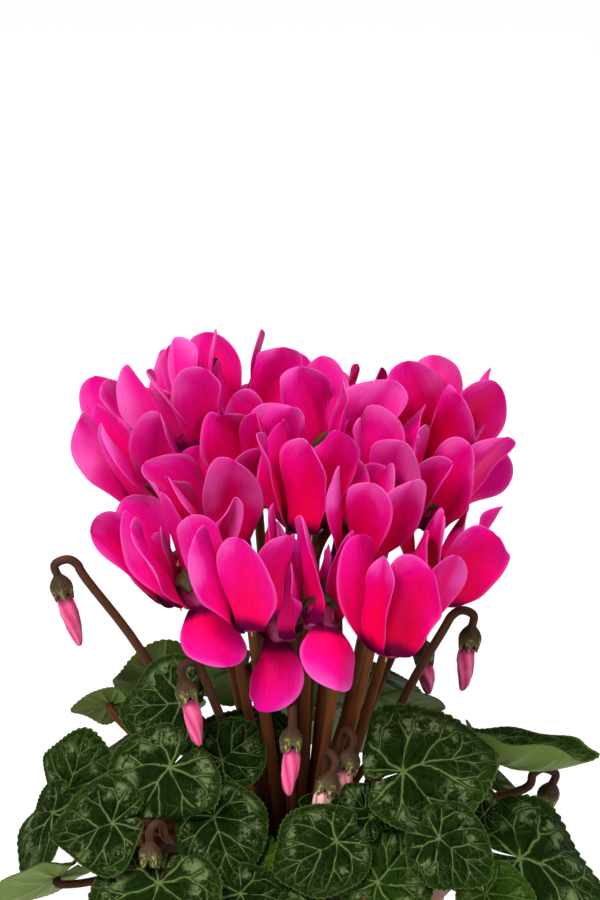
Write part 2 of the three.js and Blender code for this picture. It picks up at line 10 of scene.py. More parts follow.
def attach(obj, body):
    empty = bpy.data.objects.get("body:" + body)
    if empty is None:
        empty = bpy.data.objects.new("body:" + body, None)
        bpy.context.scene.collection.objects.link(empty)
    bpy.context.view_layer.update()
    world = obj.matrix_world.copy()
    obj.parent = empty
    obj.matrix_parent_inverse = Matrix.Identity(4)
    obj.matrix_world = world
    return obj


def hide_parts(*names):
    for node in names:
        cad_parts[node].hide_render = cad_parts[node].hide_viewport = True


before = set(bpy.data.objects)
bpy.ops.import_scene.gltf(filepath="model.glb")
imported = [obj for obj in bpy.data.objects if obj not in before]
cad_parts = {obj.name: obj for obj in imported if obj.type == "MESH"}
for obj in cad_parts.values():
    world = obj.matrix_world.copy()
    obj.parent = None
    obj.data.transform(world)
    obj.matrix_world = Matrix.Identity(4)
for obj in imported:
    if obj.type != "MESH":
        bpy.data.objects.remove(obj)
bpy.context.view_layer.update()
print("frame loaded:", len(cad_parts), "nodes")

mm = 0.001  # the plant is measured in millimetres and built in metres
soilTop = 95


# shader maths: a socket that can be added, multiplied, ramped and so on
class Sock:
    def __init__(self, look, socket):
        self.look = look
        self.socket = socket

    def sum(self, operation, *values):
        return self.look.add("Math", {"operation": operation}, dict(enumerate(values)))

    def __add__(self, other):
        return self.sum("ADD", self, other)

    def __radd__(self, other):
        return self.sum("ADD", other, self)

    def __sub__(self, other):
        return self.sum("SUBTRACT", self, other)

    def __rsub__(self, other):
        return self.sum("SUBTRACT", other, self)

    def __mul__(self, other):
        return self.sum("MULTIPLY", self, other)

    def __rmul__(self, other):
        return self.sum("MULTIPLY", other, self)

    def __truediv__(self, other):
        return self.sum("DIVIDE", self, other)

    def __abs__(self):
        return self.sum("ABSOLUTE", self)

    def most(self, other):
        return self.sum("MAXIMUM", self, other)

    def melt(self, other, reach):
        return self.sum("SMOOTH_MIN", self, other, reach)

    def fraction(self):
        return self.sum("FRACT", self)

    def floor(self):
        return self.sum("FLOOR", self)

    def split(self):
        return [self.look.add("SeparateXYZ", None, {0: self}, axis) for axis in range(3)]

    def noise(self, scale, detail=2.0, roughness=0.5):
        values = {"Vector": self, "Scale": scale, "Detail": detail, "Roughness": roughness}
        return self.look.add("TexNoise", None, values)

    def ramp(self, low, high, start=0.0, end=1.0):
        values = {0: self, 1: low, 2: high, 3: start, 4: end}
        return self.look.add("MapRange", {"interpolation_type": "SMOOTHSTEP"}, values)

    def fall(self, low, high):
        return self.ramp(low, high, 1.0, 0.0)


# one material: nodes are added by type, with settings first and then the values or links of the sockets
class Look:
    def __init__(self, name):
        self.material = bpy.data.materials.new(name)
        self.material.use_nodes = True
        self.tree = self.material.node_tree
        self.tree.nodes.clear()

    def add(self, kind, settings=None, inputs=None, output=0):
        node = self.tree.nodes.new("ShaderNode" + kind)
        for name, value in (settings or {}).items():
            setattr(node, name, value)
        for name, value in (inputs or {}).items():
            if isinstance(value, Sock):
                self.tree.links.new(value.socket, node.inputs[name])
            else:
                node.inputs[name].default_value = value
        return Sock(self, node.outputs[output]) if node.outputs else None

    def join(self, x, y, z=0.0):
        return self.add("CombineXYZ", None, {0: x, 1: y, 2: z})

    def cell(self):
        return self.add("TexCoord", output="Object")

    # across and along the piece's own texture map, and the place on the object
    def places(self):
        u, v, _ = self.add("TexCoord", output="UV").split()
        return u, v, self.cell()

    def attribute(self, name):
        return self.add("Attribute", {"attribute_name": name}, None, "Fac")

    def vector(self, operation, first, second, output=0):
        return self.add("VectorMath", {"operation": operation}, {0: first, 1: second}, output)

    def blend(self, factor, *tints):
        first, second = (colour(*tint) if isinstance(tint, tuple) else tint for tint in tints)
        return self.add("Mix", {"data_type": "RGBA"}, {0: factor, 6: first, 7: second}, 2)

    # lays tints over each other, each through its mask
    def paint(self, tint, *coats):
        for mask, over in coats:
            tint = self.blend(mask, tint, over)
        return tint

    # the relief is a height, its distance in metres and its strength
    def finish(self, tint, roughness, relief, specular=0.5, others=None):
        normal = self.add("Bump", None, dict(zip(("Height", "Distance", "Strength"), relief)))
        inputs = {"Base Color": tint, "Roughness": roughness, "Normal": normal, **(others or {})}
        inputs["Specular IOR Level"] = specular
        surface = self.add("BsdfPrincipled", None, inputs)
        self.add("OutputMaterial", None, {"Surface": surface})
        return self.material


def colour(red, green, blue):
    return (red, green, blue, 1.0)


# small sums that the whole plant uses
def vary(number):
    wave = math.sin(number * 12.9898 + 4.1) * 43758.5453
    return (wave - math.floor(wave)) * 2 - 1


def clip(x):
    return np.clip(x, 0, 1)


def smooth(x):
    x = clip(x)
    return x * x * (3 - 2 * x)


def vec(*values):
    return np.array(values, float)


def unit(vector):
    return vector / np.linalg.norm(vector)


up = vec(0, 0, 1)


def overSoil(at):
    return vec(at[0], at[1], soilTop + at[2])


# rows of vertices from a smooth line through some knots, with the same number of steps in each stretch
def throughKnots(knots, steps):
    knots = np.array(knots, float)
    ends = np.vstack([2 * knots[0] - knots[1], knots, 2 * knots[-1] - knots[-2]])
    line = []
    for place in range(1, len(ends) - 2):
        before, start, end, after = ends[place - 1:place + 3]
        for share in np.arange(steps) / steps:
            line.append(0.5 * (2 * start + (end - before) * share
                               + (2 * before - 5 * start + 4 * end - after) * share ** 2
                               + (3 * start - before - 3 * end + after) * share ** 3))
    return np.array(line + [knots[-1]])


# mesh helpers: a grid whose vertices are sent to new places, with a texture place for each
def makeGrid(bm, columns, rows):
    verts = bmesh.ops.create_grid(bm, x_segments=columns, y_segments=rows, size=1)["verts"]
    flat = np.array([vert.co[:2] for vert in verts])
    return verts, (flat[:, 0] + 1) / 2, (flat[:, 1] + 1) / 2


def send(bm, verts, points, across, along, material=0):
    layer = bm.loops.layers.uv.verify()
    for vert, point, u, v in zip(verts, points, across, along):
        vert.co = Vector(point) * mm
        for loop in vert.link_loops:
            loop[layer].uv = (u, v)
            loop.face.material_index = material


def ringFrames(line):
    ways = np.gradient(line, axis=0)
    ways /= np.linalg.norm(ways, axis=1)[:, None]
    side = np.cross(ways[0], up if abs(ways[0][2]) < 0.9 else vec(1, 0, 0))
    sides = []
    for way in ways:
        side = unit(side - way * np.dot(side, way))
        sides.append(side)
    sides = np.array(sides)
    return sides, np.cross(ways, sides)


# a closed tube along a line, with a radius for each of its points and an end that comes to a point
def makeTube(bm, line, radii, around, material=0):
    line = np.vstack([line[:1], line, line[-1:]])
    radii = np.concatenate([[0], radii, [0]])
    sides, others = (np.vstack([way[:1], way, way[-1:]]) for way in ringFrames(line[1:-1]))
    verts, u, v = makeGrid(bm, around, len(line) - 1)
    row = np.rint(v * (len(line) - 1)).astype(int)
    angle = 2 * np.pi * u[:, None]
    reach = radii[row][:, None]
    points = line[row] + reach * (np.cos(angle) * sides[row] + np.sin(angle) * others[row])
    send(bm, verts, points, u, v, material)


# a turned body on an axis: its outline gives a radius and a height for each share of the way
def makeTurned(bm, origin, axis, side, around, rows, outline, material=0):
    verts, u, v = makeGrid(bm, around, rows)
    angle = 2 * np.pi * u
    radius, height = outline(v, angle)
    other = np.cross(axis, side)
    points = (origin + height[:, None] * axis
              + (radius * np.cos(angle))[:, None] * side + (radius * np.sin(angle))[:, None] * other)
    send(bm, verts, points, u, v, material)


def addObject(name, data):
    added = bpy.data.objects.new(name, data)
    bpy.context.scene.collection.objects.link(added)
    return added


def toMesh(name, bm):
    mesh = bpy.data.meshes.new(name)
    bm.to_mesh(mesh)
    bm.free()
    return mesh


def makePiece(name, bm, materials, nodes, recalculate=True):
    bmesh.ops.remove_doubles(bm, verts=bm.verts, dist=1e-7)
    if recalculate:
        bmesh.ops.recalc_face_normals(bm, faces=bm.faces)
    mesh = toMesh(name, bm)
    mesh.shade_smooth()
    for material in materials:
        mesh.materials.append(material)
    piece = addObject(name, mesh)
    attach(piece, "root")
    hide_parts(*nodes)
    return piece


# what the modifiers give becomes the piece's own mesh, smooth but for its sharper edges
def settle(piece, sharpAngle):
    solid = bpy.data.meshes.new_from_object(piece.evaluated_get(bpy.context.evaluated_depsgraph_get()))
    solid.name = piece.name
    solid.shade_smooth()
    solid.set_sharp_from_angle(angle=math.radians(sharpAngle))
    piece.modifiers.clear()
    piece.data = solid


def numbered(name, number):
    return f"{name}{number + 1:02d}"


# stage: floor, lights and the camera
stage = {
    "distance": 2500, "elevation": 18, "look": (1.9, 0, 258.6), "frameHeight": 333.3, "sensor": 36,
    "floor": 20, "paper": 0.9, "glow": 1.05, "glowShare": 0.7, "skyLight": 0.3,
}
lamps = [
    {"name": "key", "at": (-0.9, -1.3, 2.0), "size": 1.1, "power": 62},
    {"name": "fill", "at": (1.7, -1.4, 1.0), "size": 1.4, "power": 13},
    {"name": "top", "at": (0.1, 0.6, 2.1), "size": 1.6, "power": 34},
]


def makeFloor():
    bm = bmesh.new()
    bmesh.ops.create_grid(bm, x_segments=1, y_segments=1, size=stage["floor"])
    mesh = toMesh("floor", bm)
    look = Look("paleFloor")
    matt = look.add("BsdfDiffuse", None, {"Color": colour(*[stage["paper"]] * 3)})
    glow = look.add("Emission", None, {"Color": colour(1, 1, 1), "Strength": stage["glow"]})
    seen = look.add("LightPath", output="Is Camera Ray") * stage["glowShare"]
    paper = look.add("MixShader", None, {0: seen, 1: matt, 2: glow})
    look.add("OutputMaterial", None, {"Surface": paper})
    mesh.materials.append(look.material)
    floor = addObject("floor", mesh)


def makeLamp(lamp, target):
    light = bpy.data.lights.new(lamp["name"], "AREA")
    light.shape = "DISK"
    light.size = lamp["size"]
    light.energy = lamp["power"]
    holder = addObject(lamp["name"], light)
    holder.location = lamp["at"]
    holder.rotation_euler = (target - Vector(lamp["at"])).to_track_quat("-Z", "Y").to_euler()


def makeCamera(target):
    elevation = math.radians(stage["elevation"])
    data = bpy.data.cameras.new("camera")
    data.sensor_fit = "VERTICAL"
    data.sensor_height = stage["sensor"]
    data.lens = stage["sensor"] * stage["distance"] / stage["frameHeight"]
    data.clip_end = 100
    camera = addObject("camera", data)
    back = Vector((0, -math.cos(elevation), math.sin(elevation)))
    camera.location = target + back * stage["distance"] * mm
    camera.rotation_euler = (-back).to_track_quat("-Z", "Y").to_euler()
    bpy.context.scene.camera = camera


def makeStage():
    target = Vector(stage["look"]) * mm
    makeFloor()
    for lamp in lamps:
        makeLamp(lamp, target)
    makeCamera(target)
    world = bpy.data.worlds.new("studio")
    world.use_nodes = True
    sky = world.node_tree.nodes["Background"]
    sky.inputs["Color"].default_value = colour(1, 1, 1)
    seen = world.node_tree.nodes.new("ShaderNodeLightPath")
    level = world.node_tree.nodes.new("ShaderNodeMapRange")
    level.inputs["To Min"].default_value = stage["skyLight"]
    world.node_tree.links.new(seen.outputs["Is Camera Ray"], level.inputs["Value"])
    world.node_tree.links.new(level.outputs["Result"], sky.inputs["Strength"])
    bpy.context.scene.world = world
    bpy.context.scene.view_settings.view_transform = "Standard"


makeStage()
print("stage ready")


def table(names, *rows):
    return [dict(zip(names, row)) for row in rows]


# the flowers: middle of the mouth as x, y and height over the soil, and what sets some of them apart
mouths = (
    (-43, -21, 112), (-36, -43, 119), (-16, -57, 115), (-5, -38, 104), (9, -54, 113), (34, -54, 104),
    (50, -21, 112), (20, -30, 127), (-52, 4, 141), (-26, -20, 130), (4, -25, 141), (31, -3, 138),
    (-10, 0, 143), (-36, 6, 161), (14, 14, 148), (49, 4, 133), (50, 22, 148), (2, 40, 144),
    (-21, 30, 156), (-46, 33, 145), (20, 50, 134), (-26, 56, 126), (46, 50, 118),
)
setApart = {
    1: {"hangs": 3, "hangSweep": 118},
    3: {"hangs": 1, "hangSweep": 148, "turned": 48},
    4: {"axis": (0.05, 0.55, 1), "hangs": 3, "turned": -38},
    7: {"turned": 45},
    10: {"tone": 0.05},
}
flowers = [{"at": mouth, **setApart.get(number, {})} for number, mouth in enumerate(mouths)]

# the buds: upper end of the calyx, the way that the bud points, and the length of its furled petals
buds = table(
    ("at", "points", "petals"),
    ((-88, -14, 120), (0.3, -0.1, -1), 20), ((-41, -44, 90), (0.25, -0.3, -1), 17),
    ((-1, -54, 75), (-0.05, -0.35, -1), 17), ((14, -56, 58), (-0.4, -0.35, -1), 8),
    ((21, -48, 64), (-0.25, -0.3, -1), 10), ((66, -8, 98), (-0.15, -0.1, -1), 17),
    ((48, 14, 84), (0.1, 0.1, -1), 14), ((97, -2, 33), (-0.3, 0, -1), 9),
    ((-53, -70, 36), (0, -0.4, -1), 0),
)

# the leaves: where the stalk meets the blade, heading and tilt of the upper face, turn of the tip from
# downhill, length to the tip, droop of the margin, and a lighter green for some
leafNames = ("at", "heading", "tilt", "turn", "size", "droop", "tint")
leaves = table(
    leafNames,
    ((-42, -34, 76), -25, 62, -80, 27, 0.2), ((-84, -22, 38), -25, 65, 175, 24, 0.15),
    ((-46, -54, 58), -20, 52, -30, 34, 0.25), ((-67, -60, 39), -35, 52, -60, 29, 0.2),
    ((-50, -76, 22), -10, 44, -10, 36, 0.1), ((-90, -30, 31), -75, 55, -10, 29, 0.15),
    ((-88, -56, 16), 218, 50, 60, 27, -0.1), ((-30, -60, 41), 0, 60, 20, 27, 0.2),
    ((15, -70, 35), 5, 54, -65, 26, 0.12), ((-12, -14, 50), -10, 78, -120, 25, 0),
    ((28, -62, 42), 15, 58, -150, 17, 0.1), ((40, -54, 57), 10, 46, 105, 39, 0.2),
    ((75, -16, 47), 112, 27, -30, 35, -0.65), ((53, -73, 38), 15, 58, 45, 24, 0.15),
    ((84, -52, 22), 40, 48, 55, 44, 0.3), ((30, -76, 22), 5, 52, 140, 28, 0.15),
    ((-50, 10, 67), 190, 60, 180, 27, 0), ((40, 22, 54), 195, 45, 175, 24, 0),
    ((68, 26, 36), 105, 40, 10, 38, 0.25), ((52, 54, 32), 135, 45, -15, 40, 0.25),
    ((20, 68, 38), 165, 42, 20, 38, 0.25), ((-20, 70, 31), 195, 45, -10, 40, 0.25),
    ((-54, 50, 38), 225, 42, 10, 38, 0.25), ((-72, 16, 34), 262, 45, -10, 36, 0.25),
    ((28, 40, 62), 150, 38, 0, 32, 0.2), ((-18, 42, 64), 195, 40, 0, 32, 0.2),
)
youngLeaves = table(
    leafNames,
    ((-10, -61, 26), -10, 50, -30, 16, 0.1, 1.35), ((12, -40, 40), 10, 62, 165, 17, 0.1),
    ((70, -46, 37), 25, 50, -120, 15, 0.1), ((70, -68, 13), 30, 48, 20, 24, 0.15, 1.15),
    ((-69, -4, 65), 185, 55, 90, 15, 0.1), ((-27, -40, 56), 0, 64, 130, 20, 0.1),
    ((-20, -74, 16), 0, 45, 30, 24, 0.15), ((8, -80, 14), 5, 45, -15, 22, 0.15),
)

# petals: a blade that leaves the mouth outwards, folds back over it and twists a little towards its tip
petal = {
    "length": 43, "width": 27, "rim": 3.8, "fold": 0.12, "start": 84, "sweep": 17, "thick": 0.42,
    "room": 0.32, "angles": (46, 113, 180, 247, 314), "columns": 12, "rows": 15, "tip": 1.018,
    "leanAcross": 0.0055, "leanAway": 0.0012, "roll": 0.28, "groove": 0.05, "neck": 0.36, "slant": 0.14,
    "lip": 4.2, "tuck": 0.6, "valley": 1.5, "ripple": 0.9, "turned": 28, "spread": 0.06,
    "sweepSpread": 8, "angleSpread": 4, "hangSweep": 158, "hangLength": 0.68, "hangWidth": 1.08,
    "arch": 0.12, "end": 1.02, "pieces": 24, "crowding": 0.1, "map": (0.02, 0.96), "tone": 0.5,
    "flowerTone": 0.3, "petalTone": 0.25,
}
# each petal's own form: its middle, spread and place in the row of chances, then a hanging petal's value
petalTraits = {
    "tilt": (10, 0, 0, 0), "twist": (34, 20, 1.2, 12), "curl": (0, 20, 1.8, 0),
    "cup": (0.2, 0.18, 1.5, -0.15), "bow": (0, 0.12, 2.1, 0.04), "roll": (1, 0.4, 2.4, 0.25),
    "slant": (0, 1, 2.7, 0), "widest": (0.62, 0, 0, 0.5), "point": (1.9, 0.5, 3.0, 2.0),
    "lip": (1, 0.6, 3.3, 0.5), "tuck": (1, 1.5, 3.6, -3.2),
}


def flowerFrame(flower, number):
    mouth = overSoil(flower["at"])
    own = flower.get("axis", (mouth[0] * petal["leanAcross"], mouth[1] * petal["leanAway"], 1))
    axis = unit(vec(*own))
    turned = flower.get("turned", petal["turned"] * vary(number))
    inwards = math.atan2(-mouth[1], -mouth[0]) + math.radians(turned)
    side = vec(math.cos(inwards), math.sin(inwards), 0)
    side = unit(side - axis * np.dot(side, axis))
    return {"mouth": mouth, "axis": axis, "side": side, "across": np.cross(axis, side)}


def inFrame(place, toStem, sideways, along):
    return (place["mouth"] + np.multiply.outer(toStem, place["side"])
            + np.multiply.outer(sideways, place["across"]) + np.multiply.outer(along, place["axis"]))


def petalForm(flower, number, turn):
    seed = 5 * number + turn
    hangs = flower.get("hangs") == turn
    form = {trait: hanging if hangs else middle + spread * vary(seed + step)
            for trait, (middle, spread, step, hanging) in petalTraits.items()}
    form["sweep"] = petal["sweep"] + petal["sweepSpread"] * vary(seed + 0.9)
    form["angle"] = petal["angles"][turn] + petal["angleSpread"] * vary(seed)
    if hangs:
        form["sweep"] = flower.get("hangSweep", petal["hangSweep"])
    for trait in ("tilt", "twist", "curl", "sweep", "angle"):
        form[trait] = math.radians(form[trait])
    for trait, step, hanging in (("length", 0.3, petal["hangLength"]), ("width", 0.6, petal["hangWidth"])):
        form[trait] = petal[trait] * (1 + petal["spread"] * vary(seed + step)) * (hanging if hangs else 1)
    form["seed"] = seed
    return form


def petalHeading(form, s):
    start = math.radians(petal["start"])
    curl = form["curl"] * smooth((s - 0.5) / 0.5)
    return start + (form["sweep"] - start) * smooth(s / petal["fold"]) + petal["arch"] * s * s + curl


def petalHalf(form, s):
    widest = form["widest"]
    below = petal["neck"] + (1 - petal["neck"]) * smooth(s / widest) ** 0.75
    past = clip((s - widest) / (petal["end"] - widest))
    return form["width"] / 2 * np.where(s < widest, below, np.sqrt(1 - past ** form["point"]))


def petalPoints(place, form, s, t):
    half = petalHalf(form, s)
    s = s * (1 + petal["slant"] * form["slant"] * t * half * 2 / form["width"])
    shares = (np.arange(petal["pieces"]) + 0.5) / petal["pieces"]
    headings = petalHeading(form, np.multiply.outer(s, shares))
    radius = petal["rim"] + np.sin(headings).mean(axis=1) * form["length"] * s
    along = np.cos(headings).mean(axis=1) * form["length"] * s
    heading = petalHeading(form, s)
    turn = form["tilt"] + form["twist"] * s
    bend = form["cup"] * t * t
    wave = t * t * np.sin(4.6 * s + form["seed"]) + t ** 3 * np.sin(5 * s + 2 * form["seed"])
    roll = petal["roll"] * form["roll"] * wave * smooth(s / 0.5)
    groove = petal["groove"] * np.exp(-(t / 0.25) ** 2) * smooth(s / 0.3) * (1 - smooth((s - 0.5) / 0.4))
    sideways = half * ((t + form["bow"] * s * s * 2) * np.cos(turn) + bend * np.sin(turn))
    outwards = half * (t * np.sin(turn) - bend * np.cos(turn) + roll - groove)
    reach = radius + outwards * np.cos(heading)
    cos, sin = math.cos(form["angle"]), math.sin(form["angle"])
    return inFrame(place, reach * cos - sideways * sin, reach * sin + sideways * cos,
                   along - outwards * np.sin(heading))


# the outer margin rolls outwards, the other is tucked in a little, and a valley runs up the middle
def curlPetal(blade):
    form = blade["form"]
    grid = blade["points"].reshape(petal["rows"] + 1, petal["columns"] + 1, 3)
    along, across = np.gradient(grid, axis=(0, 1))
    across /= np.linalg.norm(across, axis=2)[:, :, None]
    normal = np.cross(across, along)
    normal /= np.linalg.norm(normal, axis=2)[:, :, None]
    t = (2 * blade["u"] - 1).reshape(grid.shape[:2])
    s = blade["v"].reshape(grid.shape[:2])
    freedom = smooth((s - 0.12) / 0.4) * petalHalf(form, s) * 2 / form["width"]
    lip = petal["lip"] * form["lip"] * smooth((t - 0.3) / 0.9) * freedom
    tuck = petal["tuck"] * smooth((-t - 0.3) / 0.7) * form["tuck"] * freedom
    valley = petal["valley"] * np.exp(-(t / 0.32) ** 2) * smooth((s - 0.1) / 0.25)
    valley *= 1 - smooth((s - 0.6) / 0.4)
    ripple = petal["ripple"] * t * t * np.sin(8 * s + 2 * form["seed"] + t) * freedom
    rise = lip - tuck - valley + ripple
    grid = grid + normal * rise[:, :, None] - across * (0.5 * lip)[:, :, None]
    return grid.reshape(-1, 3)


# a share of the petal's length for each row, closer together at the fold and at the tip
def petalRow(v):
    return petal["tip"] * (v - petal["crowding"] * np.sin(2 * np.pi * v))


def gridShares(columns, rows):
    u, v = np.meshgrid(np.arange(columns + 1) / columns, np.arange(rows + 1) / rows)
    return u.ravel(), v.ravel()


def petalBlade(flower, number, turn):
    u, v = gridShares(petal["columns"], petal["rows"])
    s = petalRow(v)
    form = petalForm(flower, number, turn)
    points = petalPoints(flower["frame"], form, s, 2 * u - 1)
    weights = clip((s - 0.05) / 0.2)
    return {"owner": f"bloom{number}", "points": points, "weights": weights, "half": petal["room"],
            "probe": np.arange(len(s)), "u": u, "v": s, "form": form}


# leaves: a heart drawn round the stalk's end, with a waved and toothed margin
leafCut = {
    "thick": 0.5, "room": 0.4, "sinus": 4, "teeth": 58, "steps": 4, "rows": 9, "toothDepth": 0.032,
    "youngTeeth": 40, "pleat": 0.03, "pleatWidth": 0.11, "widestLobe": 150, "sharpAngle": 55,
    "heart": (0.68, 0.17, 0.14), "lobeCut": 0.34, "tooth": 0.7,
}
veinAngles = (0, 34, 68, 104, 146)  # degrees from the tip


def leafFrame(leaf):
    heading, tilt, turn = (math.radians(leaf[key]) for key in ("heading", "tilt", "turn"))
    ahead = vec(math.sin(heading), -math.cos(heading), 0)
    face = ahead * math.sin(tilt) + up * math.cos(tilt)
    downhill = ahead * math.cos(tilt) - up * math.sin(tilt)
    tip = downhill * math.cos(turn) + np.cross(face, downhill) * math.sin(turn)
    return {"origin": overSoil(leaf["at"]), "face": face, "tip": tip, "across": np.cross(face, tip)}


def leafReach(angle, number):
    lobe = smooth((np.abs(angle) - math.radians(leafCut["widestLobe"])) / math.radians(30))
    own = 0.02 * np.sin(4 * angle + 3 * number) + 0.012 * np.sin(7 * angle + 5 * number)
    base, longer, point = leafCut["heart"]
    heart = base + longer * np.cos(angle) + point * np.exp(-((angle / 0.3) ** 2)) + own * np.cos(angle / 2)
    return heart * (1 - leafCut["lobeCut"] * lobe)


def leafPoints(leaf, number, share, angle, tooth):
    place = leaf["frame"]
    outline = leafReach(angle, number)
    reach = leaf["size"] * outline * share * tooth
    wave = 0.06 * np.sin(3 * angle + 2 * number) + 0.04 * np.sin(5 * angle + number)
    height = leaf["size"] * share * share * (wave - leaf["droop"] * outline ** 2)
    valley = sum(np.exp(-((np.abs(angle) - math.radians(vein)) / leafCut["pleatWidth"]) ** 2)
                 for vein in veinAngles)
    height = height - leaf["size"] * leafCut["pleat"] * valley * np.sin(np.pi * clip(share)) ** 0.7
    return (place["origin"] + np.multiply.outer(reach * np.cos(angle), place["tip"])
            + np.multiply.outer(reach * np.sin(angle), place["across"])
            + np.multiply.outer(height, place["face"]))


def leafBlade(leaf, number, teeth):
    columns = teeth * leafCut["steps"]
    u, v = gridShares(columns, leafCut["rows"])
    angle = math.radians(180 - leafCut["sinus"]) * (1 - 2 * u)
    share = 1 - (1 - v) ** 1.25
    cycle = (u * teeth) % 1
    slope = np.where(cycle < leafCut["tooth"], cycle / leafCut["tooth"], (1 - cycle) / 0.3) - 0.4
    uneven = 0.75 + 0.5 * np.sin(37 * u + number) ** 2
    tooth = 1 + leafCut["toothDepth"] * slope * smooth((share - 0.9) / 0.1) * uneven
    points = leafPoints(leaf, number, share, angle, tooth)
    weights = clip(share / 0.5) * 0.8 + 0.2 * clip((share - 0.5) / 0.5)
    ring = np.arange(0, columns + 1, leafCut["steps"] * 2)
    probe = np.concatenate([row * (columns + 1) + ring for row in (0, 3, 6, leafCut["rows"])])
    reach = leafReach(angle, number) * share
    return {"owner": f"leaf{number}", "points": points, "weights": weights, "half": leafCut["room"],
            "probe": probe, "columns": columns, "u": 0.5 + 0.4 * reach * np.cos(angle),
            "v": 0.5 + 0.4 * reach * np.sin(angle), "share": share, "ring": 4 * (columns + 1) + ring,
            "tint": leaf.get("tint", 0.5 + 0.5 * vary(number + 0.5))}


# stems: each rises from the corm on the side where it goes, the farthest-reaching ones outermost
stems = {
    "flower": 1.75, "bud": 1.7, "stalk": 1.5,
    "hook": ((13.4, -14), (12.8, 4), (8.8, 15), (3, 17), (0, 11.6)),
    "crown": 25, "sunk": 2, "spacing": 13.5, "potTop": 106, "sides": 10, "steps": 5,
    "rounds": 40, "ease": 0.15,
}
stemmed = flowers + buds + leaves + youngLeaves


def root(target):
    own = math.hypot(target[0], target[1])
    rank = sum(math.hypot(one["at"][0], one["at"][1]) < own for one in stemmed)
    reach = stems["crown"] * math.sqrt((rank + 0.5) / len(stemmed))
    angle = math.atan2(target[1], target[0])
    return vec(reach * math.cos(angle), reach * math.sin(angle), soilTop + stems["sunk"])


def steer(knots, hearts, spacing):
    for _ in range(stems["rounds"]):
        for knot in range(1, len(knots) - 1):
            middle = (knots[knot - 1] + knots[knot + 1]) / 2
            knots[knot] = knots[knot] + (middle - knots[knot]) * stems["ease"]
            for start, end in hearts:
                way = end - start
                share = clip(np.dot(knots[knot] - start, way) / np.dot(way, way))
                away = knots[knot] - start - way * share
                away[2] = 0
                distance = math.sqrt(np.dot(away, away))
                if 0.01 < distance < spacing and knots[knot][2] > start[2] - 6:
                    knots[knot] = knots[knot] + away * (spacing - distance) / distance
    return knots


def flowerStem(flower):
    bend = [inFrame(flower["frame"], toStem, 0, along) for toStem, along in stems["hook"]]
    start = root(bend[0])
    knots = [start + (bend[0] - start) * share for share in (0, 0.3, 0.65, 1)]
    hearts = [[inFrame(other["frame"], 0, 0, along) for along in (-3, 24)]
              for other in flowers if other is not flower]
    return steer(knots, hearts, stems["spacing"]) + bend[1:]


def budStem(bud):
    top, axis = bud["top"], bud["axis"]
    start = root(top)
    side = unit(vec(start[0] - top[0], start[1] - top[1], 0))
    shoulder = top + 11 * side - 3 * up
    bulge = vec(start[0] * 1.8, start[1] * 1.8, shoulder[2] * 0.6 + 40)
    rise = [(1 - t) ** 2 * start + 2 * t * (1 - t) * bulge + t * t * shoulder for t in (0, 0.35, 0.7)]
    return rise + [shoulder, top + 7.5 * side + 3.2 * up, top + 3.6 * side + 5.4 * up, top - 3.4 * axis,
                   top + 1.5 * axis]


def leafStalk(blade):
    middle = blade["points"][0]
    spokes = blade["points"][blade["ring"]] - middle
    face = -unit(np.cross(spokes[:-1], spokes[1:]).sum(axis=0))
    end = middle - 0.3 * face
    start = root(end)
    arch = start + (end - start) * 0.3
    arch[2] = max(stems["potTop"] + 16, start[2] + 0.6 * (end[2] - start[2]))
    approach = end - 0.16 * np.linalg.norm(end - start) * face
    neck = end - 3 * face
    curve = []
    for t in (0, 1 / 3, 2 / 3, 1):
        rest = 1 - t
        low = rest ** 3 * start + 3 * t * rest ** 2 * arch
        curve.append(low + 3 * t * t * rest * approach + t ** 3 * neck)
    return curve + [end]


# blades keep clear of each other and of what can't give way: each near pair is pushed back from the plane
# that parts it best
def goldenDirections(count):
    height = 1 - (2 * np.arange(count) + 1) / count
    angle = np.arange(count) * math.pi * (3 - math.sqrt(5))
    radius = np.sqrt(1 - height ** 2)
    return np.stack([radius * np.cos(angle), radius * np.sin(angle), height], axis=1)


clearance = {
    "directions": 130, "rounds": 7, "breath": 0.25, "softRounds": 3, "soft": 0.8, "firm": 0.3,
    "pot": ((62, 106), (45, 0)), "heart": 6.4, "calyx": 4.3, "furl": 3.3,  # what can't give way
}
directions = goldenDirections(clearance["directions"])
nudges = np.vstack([np.eye(3), -np.eye(3)])


def widestCut(first, second):
    best = {"gap": -1e9}
    trials = directions
    for step in (0.16, 0.08, 0.04, 0.02, 0):
        highs = (trials @ first.T).max(axis=1)
        lows = (trials @ second.T).min(axis=1)
        top = int(np.argmax(lows - highs))
        if lows[top] - highs[top] > best["gap"]:
            best = {"normal": trials[top], "gap": lows[top] - highs[top]}
            best["middle"] = (lows[top] + highs[top]) / 2
            best["low"] = lows[top]
        trials = best["normal"] + step * nudges
        trials = trials / np.linalg.norm(trials, axis=1)[:, None]
    return best


def pushBack(blade, normal, limit, softness):
    depth = limit - blade["points"] @ normal
    kept = softness * np.logaddexp(0, depth / softness)
    blade["points"] += np.multiply.outer((depth - kept) * blade["weights"], normal)


def sphereOf(points):
    low, high = points.min(axis=0), points.max(axis=0)
    return (low + high) / 2, np.linalg.norm(high - low) / 2


